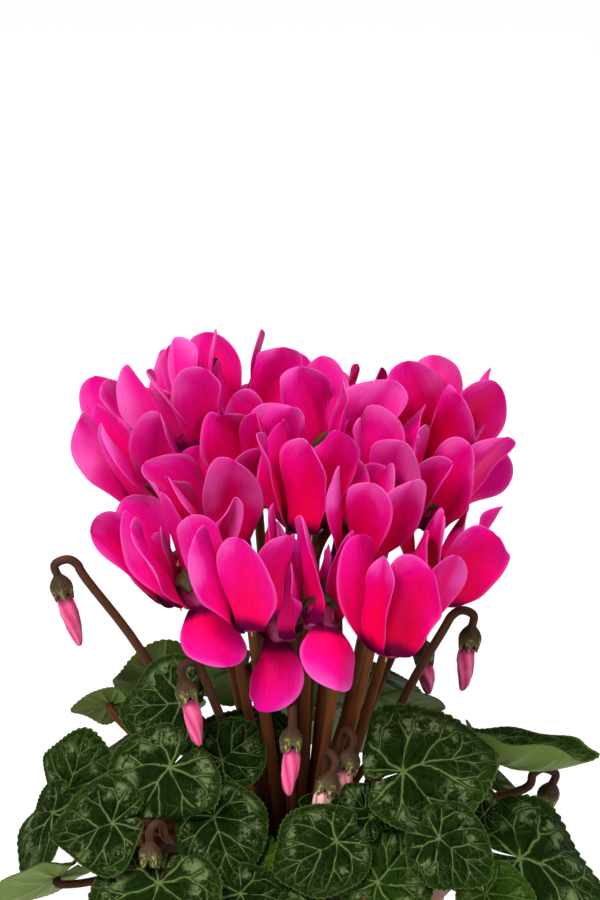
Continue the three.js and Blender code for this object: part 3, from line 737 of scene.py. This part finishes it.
def keepApart(blades, obstacles):
    breath = clearance["breath"]
    solids = [sphereOf(obstacle["points"]) for obstacle in obstacles]
    solidMiddles = np.array([middle for middle, _ in solids])
    solidReaches = np.array([reach + obstacle["radius"] for (_, reach), obstacle in zip(solids, obstacles)])
    for turn in range(clearance["rounds"]):
        softness = clearance["soft" if turn < clearance["softRounds"] else "firm"]
        spheres = [sphereOf(blade["points"][blade["probe"]]) for blade in blades]
        middles = np.array([middle for middle, _ in spheres])
        reaches = np.array([reach for _, reach in spheres])
        for index, blade in enumerate(blades):
            spread = np.linalg.norm(middles[index + 1:] - middles[index], axis=1)
            for other in index + 1 + np.flatnonzero(spread < reaches[index + 1:] + reaches[index] + 2):
                pair = (blade, blades[other])
                sibling = pair[0]["owner"] == pair[1]["owner"]
                free = [one["points"][[p for p in one["probe"] if not sibling or one["weights"][p] > 0.9]]
                        for one in pair]
                cut = widestCut(*free)
                if cut["gap"] > blade["half"] + pair[1]["half"] + 2 * breath:
                    continue
                middle = cut["middle"]
                pushBack(blade, cut["normal"], middle - blade["half"] - breath, softness)
                pushBack(pair[1], -cut["normal"], -middle - pair[1]["half"] - breath, softness)
            spread = np.linalg.norm(solidMiddles - middles[index], axis=1)
            for other in np.flatnonzero(spread < solidReaches + reaches[index] + 2):
                obstacle = obstacles[other]
                if obstacle.get("carries") == blade["owner"]:
                    continue
                cut = widestCut(blade["points"][blade["probe"]], obstacle["points"])
                clear = blade["half"] + obstacle["radius"] + 2 * breath
                if cut["gap"] < clear:
                    pushBack(blade, cut["normal"], cut["low"] - clear, softness)


def alongStem(knots, radius, carries=None):
    pairs = zip(knots, knots[1:])
    return [{"points": np.array(pair), "radius": radius, "carries": carries} for pair in pairs]


def circle(radius, height, count):
    angle = np.arange(count) * 2 * np.pi / count
    return np.stack([radius * np.cos(angle), radius * np.sin(angle), np.full(count, float(height))], axis=1)


for number, flower in enumerate(flowers):
    flower["frame"] = flowerFrame(flower, number)
for flower in flowers:
    flower["stem"] = flowerStem(flower)
for bud in buds:
    bud["top"] = overSoil(bud["at"])
    bud["axis"] = unit(vec(*bud["points"]))
    bud["stem"] = budStem(bud)
for leaf in leaves + youngLeaves:
    leaf["frame"] = leafFrame(leaf)
petals = [petalBlade(flower, number, turn) for number, flower in enumerate(flowers) for turn in range(5)]
leafBlades = [leafBlade(leaf, number, leafCut["teeth"]) for number, leaf in enumerate(leaves)]
youngBlades = [leafBlade(leaf, len(leaves) + number, leafCut["youngTeeth"])
               for number, leaf in enumerate(youngLeaves)]

obstacles = [{"points": np.vstack([circle(*ring, 24) for ring in clearance["pot"]]), "radius": 0}]
for number, flower in enumerate(flowers):
    middle = np.array([inFrame(flower["frame"], 0, 0, along) for along in (0, 5)])
    obstacles.append({"points": middle, "radius": clearance["heart"], "carries": f"bloom{number}"})
    obstacles += alongStem(flower["stem"], stems["flower"])
for bud in buds:
    ends = [(4, 7, clearance["calyx"])]
    if bud["petals"]:
        ends.append((9, 6 + bud["petals"], clearance["furl"]))
    for start, end, radius in ends:
        points = np.array([bud["top"] + start * bud["axis"], bud["top"] + end * bud["axis"]])
        obstacles.append({"points": points, "radius": radius})
    obstacles += alongStem(bud["stem"], stems["bud"])
for blade in leafBlades + youngBlades:
    obstacles += alongStem(leafStalk(blade), stems["stalk"], blade["owner"])
keepApart(petals + leafBlades + youngBlades, obstacles)
for blade in petals:
    blade["points"] = curlPetal(blade)
print("plant laid out:", len(petals), "petals and", len(leafBlades) + len(youngBlades), "leaves")


# petals, in one piece for each bloom
def petalMaterial():
    look = Look("petalSatin")
    u, v, cell = look.places()
    own = (u * 5).floor()
    across = abs((u * 5).fraction() * 2 - 1)
    drift = cell.noise(38)
    single = look.attribute("tint")
    streaks = look.join(u * 140, v * 4, own).noise(1)
    fine = look.join(u * 330, v * 7, own).noise(1, 2, 0.6)
    # painted shade: the crimson towards each petal's base and along its middle is partly the petal's own
    # deeper colour and partly painted shade of its cupped trough
    crimsonAndTroughShade = (across * 0.5 + v + (drift - 0.5) * 0.5).fall(0.3, 1.05)
    rosy = look.blend(crimsonAndTroughShade, (0.67, 0.002, 0.215), (0.78, 0, 0.085))
    deep = look.blend(crimsonAndTroughShade, (0.64, 0, 0.11), (0.7, 0, 0.035))
    pink = look.blend(single.ramp(0.15, 0.5), deep, rosy)
    outer = (v + across * 0.35 + (drift - 0.5) * 0.6).ramp(0.7, 1.3)
    # painted highlight: pale lilac towards the petals' tips and margins, where light would catch them
    paintedHighlight = (v + across * 0.45 + (drift - 0.5) * 1.8 + single * 0.4).ramp(1.1, 1.8)
    edge = across.ramp(0.82, 0.97) * v.ramp(0.15, 0.4)
    rim = across.ramp(0.965, 0.99) * v.ramp(0.1, 0.3)
    eyeLine = 0.18 + (fine - 0.5) * 0.08 + (1 - across) * 0.03
    pink = look.paint(
        pink,
        (outer * 0.9, (0.6, 0.006, 0.28)),
        (streaks.ramp(0.4, 0.7) * 0.42, (0.53, 0, 0.1)),
        (fine.ramp(0.48, 0.66) * 0.45, (0.42, 0, 0.12)),
        (single.ramp(0.5, 0.95) * 0.55, (0.65, 0.012, 0.28)),
        (paintedHighlight * (1.1 - fine * 0.9), (0.74, 0.13, 0.45)),
        (edge * 0.4, (0.74, 0.09, 0.4)),
        (rim * 0.75, (0.27, 0, 0.1)),
        ((v - eyeLine).fall(-0.07, 0.05) * 0.94, (0.075, 0, 0.03)),
    )
    return look.finish(pink, 0.5, (streaks * 0.6 + fine * 0.4, 0.0006, 0.45), 0.03, {
        "Subsurface Weight": 0.06, "Subsurface Radius": (0.003, 0.0005, 0.001), "Subsurface Scale": 0.5,
    })


def makePetals(material):
    for number, flower in enumerate(flowers):
        bm = bmesh.new()
        tint = bm.verts.layers.float.new("tint")
        tone = flower.get("tone", petal["tone"] + petal["flowerTone"] * vary(number * 1.7))
        for turn in range(5):
            blade = petals[5 * number + turn]
            verts, _, _ = makeGrid(bm, petal["columns"], petal["rows"])
            edge, inner = petal["map"]
            u = (turn + edge + inner * blade["u"]) / 5
            send(bm, verts, blade["points"], u, blade["v"] / petal["tip"])
            for vert in verts:
                vert[tint] = tone + petal["petalTone"] * vary(number * 5 + turn + 0.4)
        piece = makePiece(numbered("bloomPetals", number), bm, [material],
                          [numbered("bloom_", number)], False)
        shell = piece.modifiers.new("thickness", "SOLIDIFY")
        shell.thickness = petal["thick"] * mm
        shell.offset = 0
        rounding = piece.modifiers.new("rounding", "SUBSURF")
        rounding.levels = 1
        rounding.render_levels = 1


# each flower's heart: its tube with a thick lip, a style and five anthers round it
heart = {
    "lip": 5.6, "inner": 4.1, "shoulder": 5.2, "height": 9, "depth": 5.6, "turn": 46, "around": 20,
    "rows": 14, "style": (5.2, 2, -1.5, -4.5), "styleRadius": (0.45, 0.3), "antherRing": 1.7,
    "anther": ((1.1, 5), (1, 2.5), (0.6, -0.6), (0.25, -2.4)),  # share of the ring and height, downwards
    "antherRadii": (0.8, 1.0, 1.1, 1.0, 0.8, 0.55, 0.15),
}


def tubeMaterial():
    look = Look("flowerTube")
    _, v, cell = look.places()
    grain = cell.noise(900)
    tint = look.paint(
        (0.3, 0.004, 0.075),
        (v.ramp(0.55, 0.8), (0.07, 0, 0.03)),
        (v.fall(0, 0.3), (0.55, 0.02, 0.13)),
        (grain.ramp(0.4, 0.7) * 0.4, (0.12, 0, 0.04)),
    )
    return look.finish(tint, 0.5, (grain, 0.0003, 0.4))


def antherMaterial():
    look = Look("anthers")
    grain = look.cell().noise(2500)
    tint = look.blend(grain.ramp(0.35, 0.7), (0.42, 0.22, 0.05), (0.62, 0.4, 0.13))
    return look.finish(tint, 0.7, (grain, 0.0003, 0.6))


def tubeOutline(v, angle):
    outer = v < 0.5
    share = np.where(outer, v / 0.5, (v - 0.5) / 0.5)
    lobe = 1 + 0.05 * np.cos(5 * angle) * np.sin(np.pi * v)
    rise = np.sqrt(clip(1 - (1 - clip(share / 0.35)) ** 2))
    wide = heart["shoulder"] * rise + (heart["lip"] - heart["shoulder"]) * smooth((share - 0.3) / 0.7)
    down = heart["height"] - (heart["height"] + 0.4) * share ** 1.3
    hollow = heart["inner"] * np.sqrt(clip(1 - share ** 2.5))
    lipped = heart["lip"] + (hollow - heart["lip"]) * smooth(share / 0.2)
    upwards = -0.4 + heart["depth"] * share ** 1.2 - 0.5 * np.sin(np.pi * clip(share / 0.25))
    radius = np.where(outer, wide, np.where(share < 0.2, lipped, hollow))
    return radius * lobe, np.where(outer, down, upwards)


def makeHearts():
    bm = bmesh.new()
    for number, flower in enumerate(flowers):
        place = flower["frame"]
        turn = math.radians(heart["turn"] + 4 * vary(number))
        side = place["side"] * math.cos(turn) + place["across"] * math.sin(turn)
        makeTurned(bm, place["mouth"], place["axis"], side, heart["around"], heart["rows"], tubeOutline)
        line = [inFrame(place, 0, 0, along) for along in heart["style"]]
        makeTube(bm, throughKnots(line, 3), np.linspace(*heart["styleRadius"], 10), 6, 1)
        for anther in range(5):
            angle = turn + 2 * math.pi * anther / 5
            reach = heart["antherRing"]
            ends = [inFrame(place, reach * share * math.cos(angle), reach * share * math.sin(angle), along)
                    for share, along in heart["anther"]]
            makeTube(bm, throughKnots(ends, 2), vec(*heart["antherRadii"]), 6, 1)
    makePiece("flowerHearts", bm, [tubeMaterial(), antherMaterial()],
              [numbered("bloom_", number) for number in range(len(flowers))])


makePetals(petalMaterial())
makeHearts()
print("blooms made")


# leaves: veins that fork towards the margin, with silvery patches between them
veinLines = [
    ((0, 0), (0.95, 0)), ((0.20, 0), (0.40, 0.20)), ((0.40, 0.20), (0.56, 0.42)),
    ((0.40, 0.20), (0.63, 0.27)), ((0.63, 0.27), (0.74, 0.24)), ((0.50, 0), (0.67, 0.12)),
    ((0.67, 0.12), (0.84, 0.13)), ((0.67, 0.12), (0.70, 0.22)), ((0, 0), (0.13, 0.31)),
    ((0.13, 0.31), (0.30, 0.54)), ((0.13, 0.31), (0.05, 0.52)), ((0.30, 0.54), (0.44, 0.50)),
    ((0, 0), (-0.15, 0.27)), ((-0.15, 0.27), (-0.14, 0.49)), ((-0.15, 0.27), (-0.30, 0.40)),
    ((-0.14, 0.49), (0.02, 0.60)), ((0, 0), (-0.30, 0.15)), ((-0.30, 0.15), (-0.46, 0.24)),
    ((-0.30, 0.15), (-0.46, 0.08)),
]
mainVeins = [veinLines[number] for number in (0, 1, 2, 8, 12, 16)]


# distance to the nearest vein, melting together where two meet
def veinDistance(look, spot, lines):
    near = None
    for (ax, ay), (bx, by) in lines:
        run = (bx - ax, by - ay, 0)
        square = run[0] ** 2 + run[1] ** 2
        away = look.vector("SUBTRACT", spot, (ax, ay, 0))
        along = look.vector("DOT_PRODUCT", away, tuple(part / square for part in run), 1)
        along = look.add("Clamp", None, {0: along})
        reached = look.add("VectorMath", {"operation": "SCALE"}, {0: run, "Scale": along})
        distance = look.vector("DISTANCE", away, reached, 1)
        near = distance if near is None else near.melt(distance, 0.02)
    return near


def leafMaterial():
    look = Look("leafUpper")
    u, v, cell = look.places()
    share = look.attribute("share")
    tone = look.attribute("tint")
    warpX = cell.noise(60, 3, 0.55)
    warpY = look.vector("ADD", cell, (0.31, 0.17, 0.43)).noise(60, 3, 0.55)
    x = (u - 0.5) * 2.5 + (warpX - 0.5) * 0.2
    y = abs((v - 0.5) * 2.5 + (warpY - 0.5) * 0.15)
    spot = look.join(x - y * y * 0.4, y)  # veins bend towards the tip
    near = veinDistance(look, spot, veinLines)
    reach = look.vector("LENGTH", spot, (0, 0, 0), 1)
    width = (0.01 - 0.0085 * reach).most(0.0019)
    vein = (near / width).fall(0.4, 1.6) * share.ramp(0.7, 0.95, 1, 0.2)
    net = look.join(x, (v - 0.5) * 2.5 + (warpY - 0.5) * 0.3, tone * 3)
    coarse, close = (look.add("TexVoronoi", {"feature": "DISTANCE_TO_EDGE"}, {"Vector": net, "Scale": scale})
                     for scale in (6.5, 17))
    mottle = cell.noise(260, 3, 0.6)
    grain = cell.noise(1100, 2, 0.6)
    patches = cell.noise(105, 3, 0.6)
    band = share.ramp(0.45, 0.62) * share.fall(0.78, 0.92)
    spots = (patches + (grain - 0.5) * 0.3).ramp(0.5, 0.62) * near.ramp(0.01, 0.04)
    netShare = share.ramp(0.3, 0.55) * mottle.ramp(0.3, 0.6, 0.4, 1)
    green = look.paint(
        (0.0026, 0.0076, 0.0011),
        (cell.noise(32), (0.0074, 0.0172, 0.002)),
        (tone.ramp(0.5, 1) * 0.7, (0.0145, 0.0355, 0.0031)),
        (share.ramp(0.7, 0.98) * 0.5, (0.0106, 0.0281, 0.0029)),
        (mottle.ramp(0.35, 0.75) * 0.35, (0.0125, 0.0268, 0.0043)),
        (close.fall(0, 0.09) * share.ramp(0.2, 0.6) * 0.3, (0.0277, 0.0523, 0.0096)),
        (band * spots * 0.9, (0.125, 0.165, 0.062)),
        (near.fall(0, 0.045) * 0.3, (0.0277, 0.057, 0.0096)),
        (coarse.fall(0, 0.045) * netShare * 0.38, (0.087, 0.129, 0.04)),
        (vein * 0.68, (0.13, 0.187, 0.06)),
        (tone.ramp(0.95, 1.5) * 0.9, (0.0434, 0.0931, 0.007)),
        (share.ramp(0.965, 1) * 0.6, (0.0735, 0.1138, 0.0203)),
        (reach.fall(0, 0.05) * 0.6, (0.098, 0.1449, 0.0348)),
    )
    height = near.ramp(0, 0.08) * 0.8 + mottle * 0.3 + coarse.ramp(0, 0.2) * 0.35
    return look.finish(green, mottle.ramp(0.2, 0.8, 0.45, 0.62), (height, 0.0015, 0.9), 0.01)


def leafUnderMaterial():
    look = Look("leafUnder")
    u, v, cell = look.places()
    spot = look.join((u - 0.5) * 2.5, abs((v - 0.5) * 2.5))
    rib = veinDistance(look, spot, mainVeins).fall(0.006, 0.028)
    grain = cell.noise(700)
    tint = look.paint(
        (0.09, 0.15, 0.022),
        (cell.noise(70, 3), (0.13, 0.185, 0.034)),
        (grain.ramp(0.4, 0.7) * 0.3, (0.09, 0.15, 0.03)),
        (rib * 0.6, (0.22, 0.25, 0.08)),
    )
    return look.finish(tint, 0.55, (rib + grain * 0.2, 0.0008, 0.6), 0.3)


# a plate of even thickness, with its own material below and crisp edges
def thickenLeaf(piece):
    shell = piece.modifiers.new("thickness", "SOLIDIFY")
    shell.thickness = leafCut["thick"] * mm
    shell.offset = 0
    shell.material_offset = 1
    shell.material_offset_rim = 0
    settle(piece, leafCut["sharpAngle"])


def makeLeaf(name, blades, materials, nodes):
    bm = bmesh.new()
    share = bm.verts.layers.float.new("share")
    tint = bm.verts.layers.float.new("tint")
    for blade in blades:
        verts, _, _ = makeGrid(bm, blade["columns"], leafCut["rows"])
        send(bm, verts, blade["points"], blade["u"], blade["v"])
        for vert, value in zip(verts, blade["share"]):
            vert[share] = value
            vert[tint] = blade["tint"]
    thickenLeaf(makePiece(name, bm, materials, nodes, False))


leafMaterials = [leafMaterial(), leafUnderMaterial()]
for number, blade in enumerate(leafBlades):
    makeLeaf(numbered("leafBlade", number), [blade], leafMaterials, [numbered("leaf_", number)])
makeLeaf("youngLeaves", youngBlades, leafMaterials, ["corm_and_stems"])
print("leaves made")


# stems and stalks, with the corm that they rise from
corm = {"radius": 29, "rise": 9, "depth": 20, "around": 48, "rows": 16}


def stemMaterial(name, low, high, streak):
    look = Look(name)
    u, v, cell = look.places()
    lines = look.join(u * 14, v * 5).noise(1, 3)
    blots = cell.noise(160, 3)
    height = cell.split()[2]
    tint = look.paint(
        low,
        ((v + (blots - 0.5) * 0.6).ramp(0.1, 0.95), high),
        (lines.ramp(0.45, 0.75) * 0.4, streak),
        # painted shade: stems and stalks darken towards the soil round the corm
        ((height + (blots - 0.5) * 0.02).fall(0.098, 0.14) * 0.65, (0.02, 0.008, 0.006)),
    )
    fuzz = cell.noise(2200)
    return look.finish(tint, 0.5, (lines * 0.7 + fuzz * 0.3, 0.0005, 0.5), 0.08)


def cormMaterial():
    look = Look("cormSkin")
    bark = look.cell().noise(180, 5, 0.65)
    tint = look.blend(bark.ramp(0.3, 0.7), (0.035, 0.017, 0.01), (0.11, 0.055, 0.03))
    return look.finish(tint, 0.85, (bark, 0.002, 0.9))


def cormOutline(v, angle):
    turn = math.pi * (v - 0.5)
    lump = 1 + 0.03 * np.sin(3 * angle + 1) * np.sin(math.pi * v) + 0.02 * np.sin(7 * angle)
    height = np.where(turn < 0, corm["depth"], corm["rise"]) * np.sin(turn)
    return corm["radius"] * np.cos(turn) * np.where((v > 0) & (v < 1), lump, 1), soilTop + height


def makeStems():
    bm = bmesh.new()
    rises = [(flower["stem"], "flower", 1.14, 0.16, 0) for flower in flowers]
    rises += [(leafStalk(blade), "stalk", 1.1, 0.1, 0) for blade in leafBlades + youngBlades]
    rises += [(bud["stem"], "bud", 1.05, 0.1, 1) for bud in buds]
    for knots, kind, thick, taper, skin in rises:
        line = throughKnots(knots, stems["steps"])
        radii = stems[kind] * (thick - taper * np.linspace(0, 1, len(line)))
        makeTube(bm, line, radii, stems["sides"], skin)
    makeTurned(bm, vec(0, 0, 0), up, vec(1, 0, 0), corm["around"], corm["rows"], cormOutline, 2)
    skins = [
        stemMaterial("flowerStem", (0.135, 0.038, 0.008), (0.060, 0.018, 0.007), (0.18, 0.062, 0.014)),
        stemMaterial("budStem", (0.080, 0.029, 0.012), (0.043, 0.016, 0.009), (0.12, 0.050, 0.022)),
        cormMaterial(),
    ]
    makePiece("cormAndStems", bm, skins, ["corm_and_stems"])


makeStems()
print("stems made")


# calyces: five pointed lobes that hold each flower's tube and close round each bud
calyx = {
    "high": 13.4, "drop": 5.2, "point": 1.3, "wall": 0.8, "radii": (0, 2.4, 4.4, 6.6),
    "budLength": 9, "budPoint": 1.5, "budWall": 0.86,
    "budRadii": (0, 1.5, 2.1, 3.2, 4.15, 4.3, 3.8, 3.2),
}


def calyxMaterial(name, flecked):
    look = Look(name)
    u, v, cell = look.places()
    specks = cell.noise(1300, 3, 0.6)
    lines = look.join(u * 46, v * 3).noise(1)
    lobe = abs((u * 5).fraction() * 2 - 1)
    flecks = look.join(u * 40, v * 9).noise(1, 3, 0.6)
    pale = v.ramp(0.4, 0.62) * (flecks + lobe * 0.16).ramp(0.63, 0.7)
    tint = look.paint(
        (0.044, 0.021, 0.01),
        (lines.ramp(0.4, 0.7), (0.07, 0.044, 0.015)),
        (specks.ramp(0.5, 0.62) * 0.6, (0.028, 0.012, 0.008)),
        ((v + (specks - 0.5) * 0.4).ramp(0.3, 0.75) * 0.8 * flecked, (0.075, 0.074, 0.02)),
        (pale * flecked, (0.36, 0.36, 0.13)),
    )
    return look.finish(tint, 0.5, (lines * 0.6 + specks * 0.5, 0.0005, 0.6), 0.12)


# the wall goes up to its lobes, and the rest of the way closes it inside
def budCalyxOutline(v, angle):
    wall = clip(v / calyx["budWall"])
    lobe = np.cos(5 * angle)
    belly = np.interp(wall, [0, 0.04, 0.12, 0.25, 0.45, 0.65, 0.85, 1], calyx["budRadii"])
    radius = belly * (1 + 0.045 * lobe * smooth(wall / 0.4)) + 0.25 * smooth((wall - 0.8) / 0.2)
    height = wall * calyx["budLength"] + calyx["budPoint"] * lobe * smooth((wall - 0.6) / 0.4)
    inner = v > calyx["budWall"]
    depth = (v - calyx["budWall"]) / (1 - calyx["budWall"])
    height = np.where(inner, height * (1 - 0.25 * depth), height)
    return np.where(inner, radius * (1 - depth), radius), height


def flowerCalyxOutline(v, angle):
    wall = clip(v / calyx["wall"])
    lobe = np.cos(5 * angle)
    radius = np.interp(wall, [0, 0.15, 0.5, 1], calyx["radii"])
    height = calyx["high"] - wall ** 1.5 * calyx["drop"] - calyx["point"] * lobe * smooth((wall - 0.5) / 0.5)
    inner = v > calyx["wall"]
    depth = (v - calyx["wall"]) / (1 - calyx["wall"])
    return np.where(inner, radius * (1 - depth), radius), np.where(inner, height + depth - 0.4, height)


def makeCalyces():
    bm = bmesh.new()
    for flower in flowers:
        place = flower["frame"]
        makeTurned(bm, place["mouth"], place["axis"], place["side"], 30, 10, flowerCalyxOutline)
    for number, bud in enumerate(buds):
        bud["side"] = unit(np.cross(bud["axis"], vec(math.cos(number), math.sin(number), 0.2)))
        makeTurned(bm, bud["top"], bud["axis"], bud["side"], 40, 22, budCalyxOutline, 1)
    skins = [calyxMaterial("flowerCalyx", 0.1), calyxMaterial("budCalyx", 0.72)]
    makePiece("calyces", bm, skins, ["corm_and_stems"])


# furled petals: pleats that wind round the bud to its tip
furl = {
    "radii": (2.9, 3.0, 3.3, 2.9, 1.9, 1.1, 0), "wind": 2.2, "pleat": 0.13, "sway": 0.5,
    "youngBelow": 13, "youngSpan": 5, "youngMost": 0.8,
}


def budMaterial():
    look = Look("budPetals")
    u, v, cell = look.places()
    lines = look.join(u * 60 + v * 14, v * 3).noise(1)
    fold = abs((u * 5 + v * 1.1).fraction() * 2 - 1)
    cloud = cell.noise(300)
    cream = look.blend(fold.ramp(0.1, 0.6), (0.44, 0.17, 0.16), (0.7, 0.5, 0.38))
    tint = look.paint(
        (0.6, 0.055, 0.18),
        (fold.ramp(0.3, 1), (0.72, 0.16, 0.29)),
        (fold.fall(0, 0.2) * 0.8, (0.36, 0.005, 0.085)),
        (lines.ramp(0.4, 0.7) * 0.4, (0.52, 0.03, 0.14)),
        (cloud.ramp(0.5, 0.8) * 0.3, (0.74, 0.22, 0.31)),
        (look.attribute("young"), cream),
        (v.fall(0.06, 0.22) * 0.85, (0.13, 0, 0.045)),
    )
    return look.finish(tint, 0.45, (lines, 0.0004, 0.4), 0.12, {
        "Subsurface Weight": 0.1, "Subsurface Radius": (0.003, 0.001, 0.001), "Subsurface Scale": 0.5,
    })


def makeBuds(material):
    for place, bud in enumerate([bud for bud in buds if bud["petals"]]):
        length = bud["petals"] + 1.0

        def outline(v, angle):
            belly = np.interp(v, [0, 0.12, 0.35, 0.6, 0.85, 0.96, 1], furl["radii"])
            folds = np.abs(np.sin(2.5 * (angle + furl["wind"] * v))) - 0.5
            pleat = 1 + furl["pleat"] * folds * np.sin(np.pi * clip(v)) ** 0.5
            sway = furl["sway"] * np.sin(2 * np.pi * v) * np.cos(angle)
            return np.where(v > 0, belly * pleat + sway * (v < 1), 0), calyx["budLength"] - 1 + length * v
        bm = bmesh.new()
        young = bm.verts.layers.float.new("young")
        makeTurned(bm, bud["top"], bud["axis"], bud["side"], 40, 26, outline)
        youth = min(max((furl["youngBelow"] - bud["petals"]) / furl["youngSpan"], 0), 1) * furl["youngMost"]
        for vert in bm.verts:
            vert[young] = youth
        makePiece(numbered("budPetals", place), bm, [material],
                  [numbered("bud_petals_", place)])


makeCalyces()
makeBuds(budMaterial())
print("buds made")


# peat: a crumbly top over a plain block in the pot
peat = {
    "bottom": 3.3, "gap": 0.5, "sunk": 1.5, "lumps": 1.4, "crest": 2.2, "lumpSize": 0.13, "crumbs": 420,
    "crumbRing": (30, 25.5), "crumbSize": (0.5, 1.3), "seed": 6,
}
pot = {
    "height": 106, "mouth": 62, "foot": 45, "wall": 2.4, "floor": 3, "rimHeight": 15, "rimStep": 2.2,
    "holes": 4, "hole": 4.5, "holeRing": 27, "sides": 96, "sharpAngle": 40,
}


def potInner(height):
    return pot["foot"] - pot["wall"] + (pot["mouth"] - pot["foot"] - pot["rimStep"]) * height / pot["height"]


def peatMaterial():
    look = Look("peat")
    cell = look.cell()
    clods = cell.noise(220, 6, 0.7)
    fibres = look.vector("MULTIPLY", cell, (1, 0.25, 1)).noise(900, 3, 0.6)
    tint = look.paint(
        (0.012, 0.008, 0.006),
        (clods.ramp(0.3, 0.72), (0.062, 0.038, 0.024)),
        (fibres.ramp(0.62, 0.72) * 0.5, (0.14, 0.085, 0.045)),
    )
    return look.finish(tint, 0.95, (clods, 0.003, 1))


# from the middle of the bottom out, up the wall, and back over the crumbly top
def peatOutline(v, angle):
    top = v > 0.45
    reach = (potInner(soilTop) - peat["gap"]) * (1 - clip((v - 0.45) / 0.55))
    side = clip((v - 0.15) / 0.3)
    height = peat["bottom"] + (soilTop - peat["sunk"] - peat["bottom"]) * side
    low = potInner(peat["bottom"]) - peat["gap"]
    wall = np.where(v < 0.15, low * clip(v / 0.15), potInner(height) - peat["gap"])
    size = peat["lumpSize"]
    lumps = np.array([fractal(Vector((r * math.cos(a) * size, r * math.sin(a) * size, 3)), 0.8, 2.1, 5)
                      for r, a in zip(reach, angle)])
    crest = soilTop - peat["sunk"] + peat["lumps"] * lumps + peat["crest"] * smooth(1 - reach / 60)
    return np.where(top, reach, wall), np.where(top, crest, height)


def makePeat():
    bm = bmesh.new()
    makeTurned(bm, vec(0, 0, 0), up, vec(1, 0, 0), 96, 48, peatOutline)
    rng = np.random.default_rng(peat["seed"])
    inside, spread = peat["crumbRing"]
    small, more = peat["crumbSize"]
    for _ in range(peat["crumbs"]):
        reach = inside + spread * math.sqrt(rng.random())
        angle = rng.random() * 2 * math.pi
        size = small + more * rng.random() ** 2
        made = bmesh.ops.create_icosphere(bm, subdivisions=1, radius=size * mm)["verts"]
        height = soilTop - 0.9 + 0.8 * rng.random()
        spot = Vector((reach * math.cos(angle), reach * math.sin(angle), height)) * mm
        for vert in made:
            vert.co = vert.co * (0.8 + 0.4 * rng.random()) + spot
    makePiece("peatFill", bm, [peatMaterial()], ["potting_soil"])


# pot: one turned wall with a stepped rim, and drain holes in its floor
def potMaterial():
    look = Look("potPlastic")
    cell = look.cell()
    dust = cell.noise(45, 4, 0.6)
    tint = look.paint(
        (0.185, 0.062, 0.03),
        (dust.ramp(0.35, 0.75), (0.225, 0.083, 0.043)),
        (cell.split()[2].fall(0, 0.012) * 0.4, (0.13, 0.06, 0.035)),
    )
    return look.finish(tint, dust.ramp(0.3, 0.8, 0.42, 0.58), (cell.noise(1800), 0.0002, 0.5), 0.25)


# radius and height of each corner, from the middle of the floor's underside round to its upper side
def potProfile():
    wall, top, mouth, floor = pot["wall"], pot["height"], pot["mouth"], pot["floor"]
    rimFoot = top - pot["rimHeight"]
    return [
        (0, 0), (potInner(0) + wall - 1, 0), (potInner(0) + wall - 0.2, 0.3), (potInner(1.5) + wall, 1.5),
        (potInner(rimFoot) + wall, rimFoot - 0.4), (potInner(rimFoot) + wall + 0.4, rimFoot),
        (mouth - 1, rimFoot), (mouth - 0.2, rimFoot + 0.4), (mouth, rimFoot + 1.4), (mouth, top - 1.2),
        (mouth - 0.4, top - 0.3), (mouth - 1.2, top), (potInner(top) + 0.8, top), (potInner(top), top - 0.7),
        (potInner(floor + 2), floor + 2), (potInner(floor) - 2, floor), (0, floor),
    ]


def makeDrills():
    bm = bmesh.new()
    for hole in range(pot["holes"]):
        angle = hole * 2 * math.pi / pot["holes"]
        made = bmesh.ops.create_cone(bm, cap_ends=True, segments=32, radius1=pot["hole"] * mm,
                                     radius2=pot["hole"] * mm, depth=4 * pot["floor"] * mm)["verts"]
        spot = Vector((pot["holeRing"] * math.cos(angle), pot["holeRing"] * math.sin(angle), 0)) * mm
        bmesh.ops.translate(bm, verts=made, vec=spot)
    return addObject("drills", toMesh("drills", bm))


def makePot():
    bm = bmesh.new()
    chain = [bm.verts.new(Vector((radius, 0, height)) * mm) for radius, height in potProfile()]
    edges = [bm.edges.new(pair) for pair in zip(chain, chain[1:])]
    bmesh.ops.spin(bm, geom=chain + edges, axis=(0, 0, 1), cent=(0, 0, 0), angle=2 * math.pi,
                   steps=pot["sides"], use_merge=True)
    piece = makePiece("flowerPot", bm, [potMaterial()], ["pot"])
    drills = makeDrills()
    cut = piece.modifiers.new("drainHoles", "BOOLEAN")
    cut.operation = "DIFFERENCE"
    cut.solver = "EXACT"
    cut.object = drills
    settle(piece, pot["sharpAngle"])
    bpy.data.objects.remove(drills)


makePeat()
makePot()
print("pot and peat made")
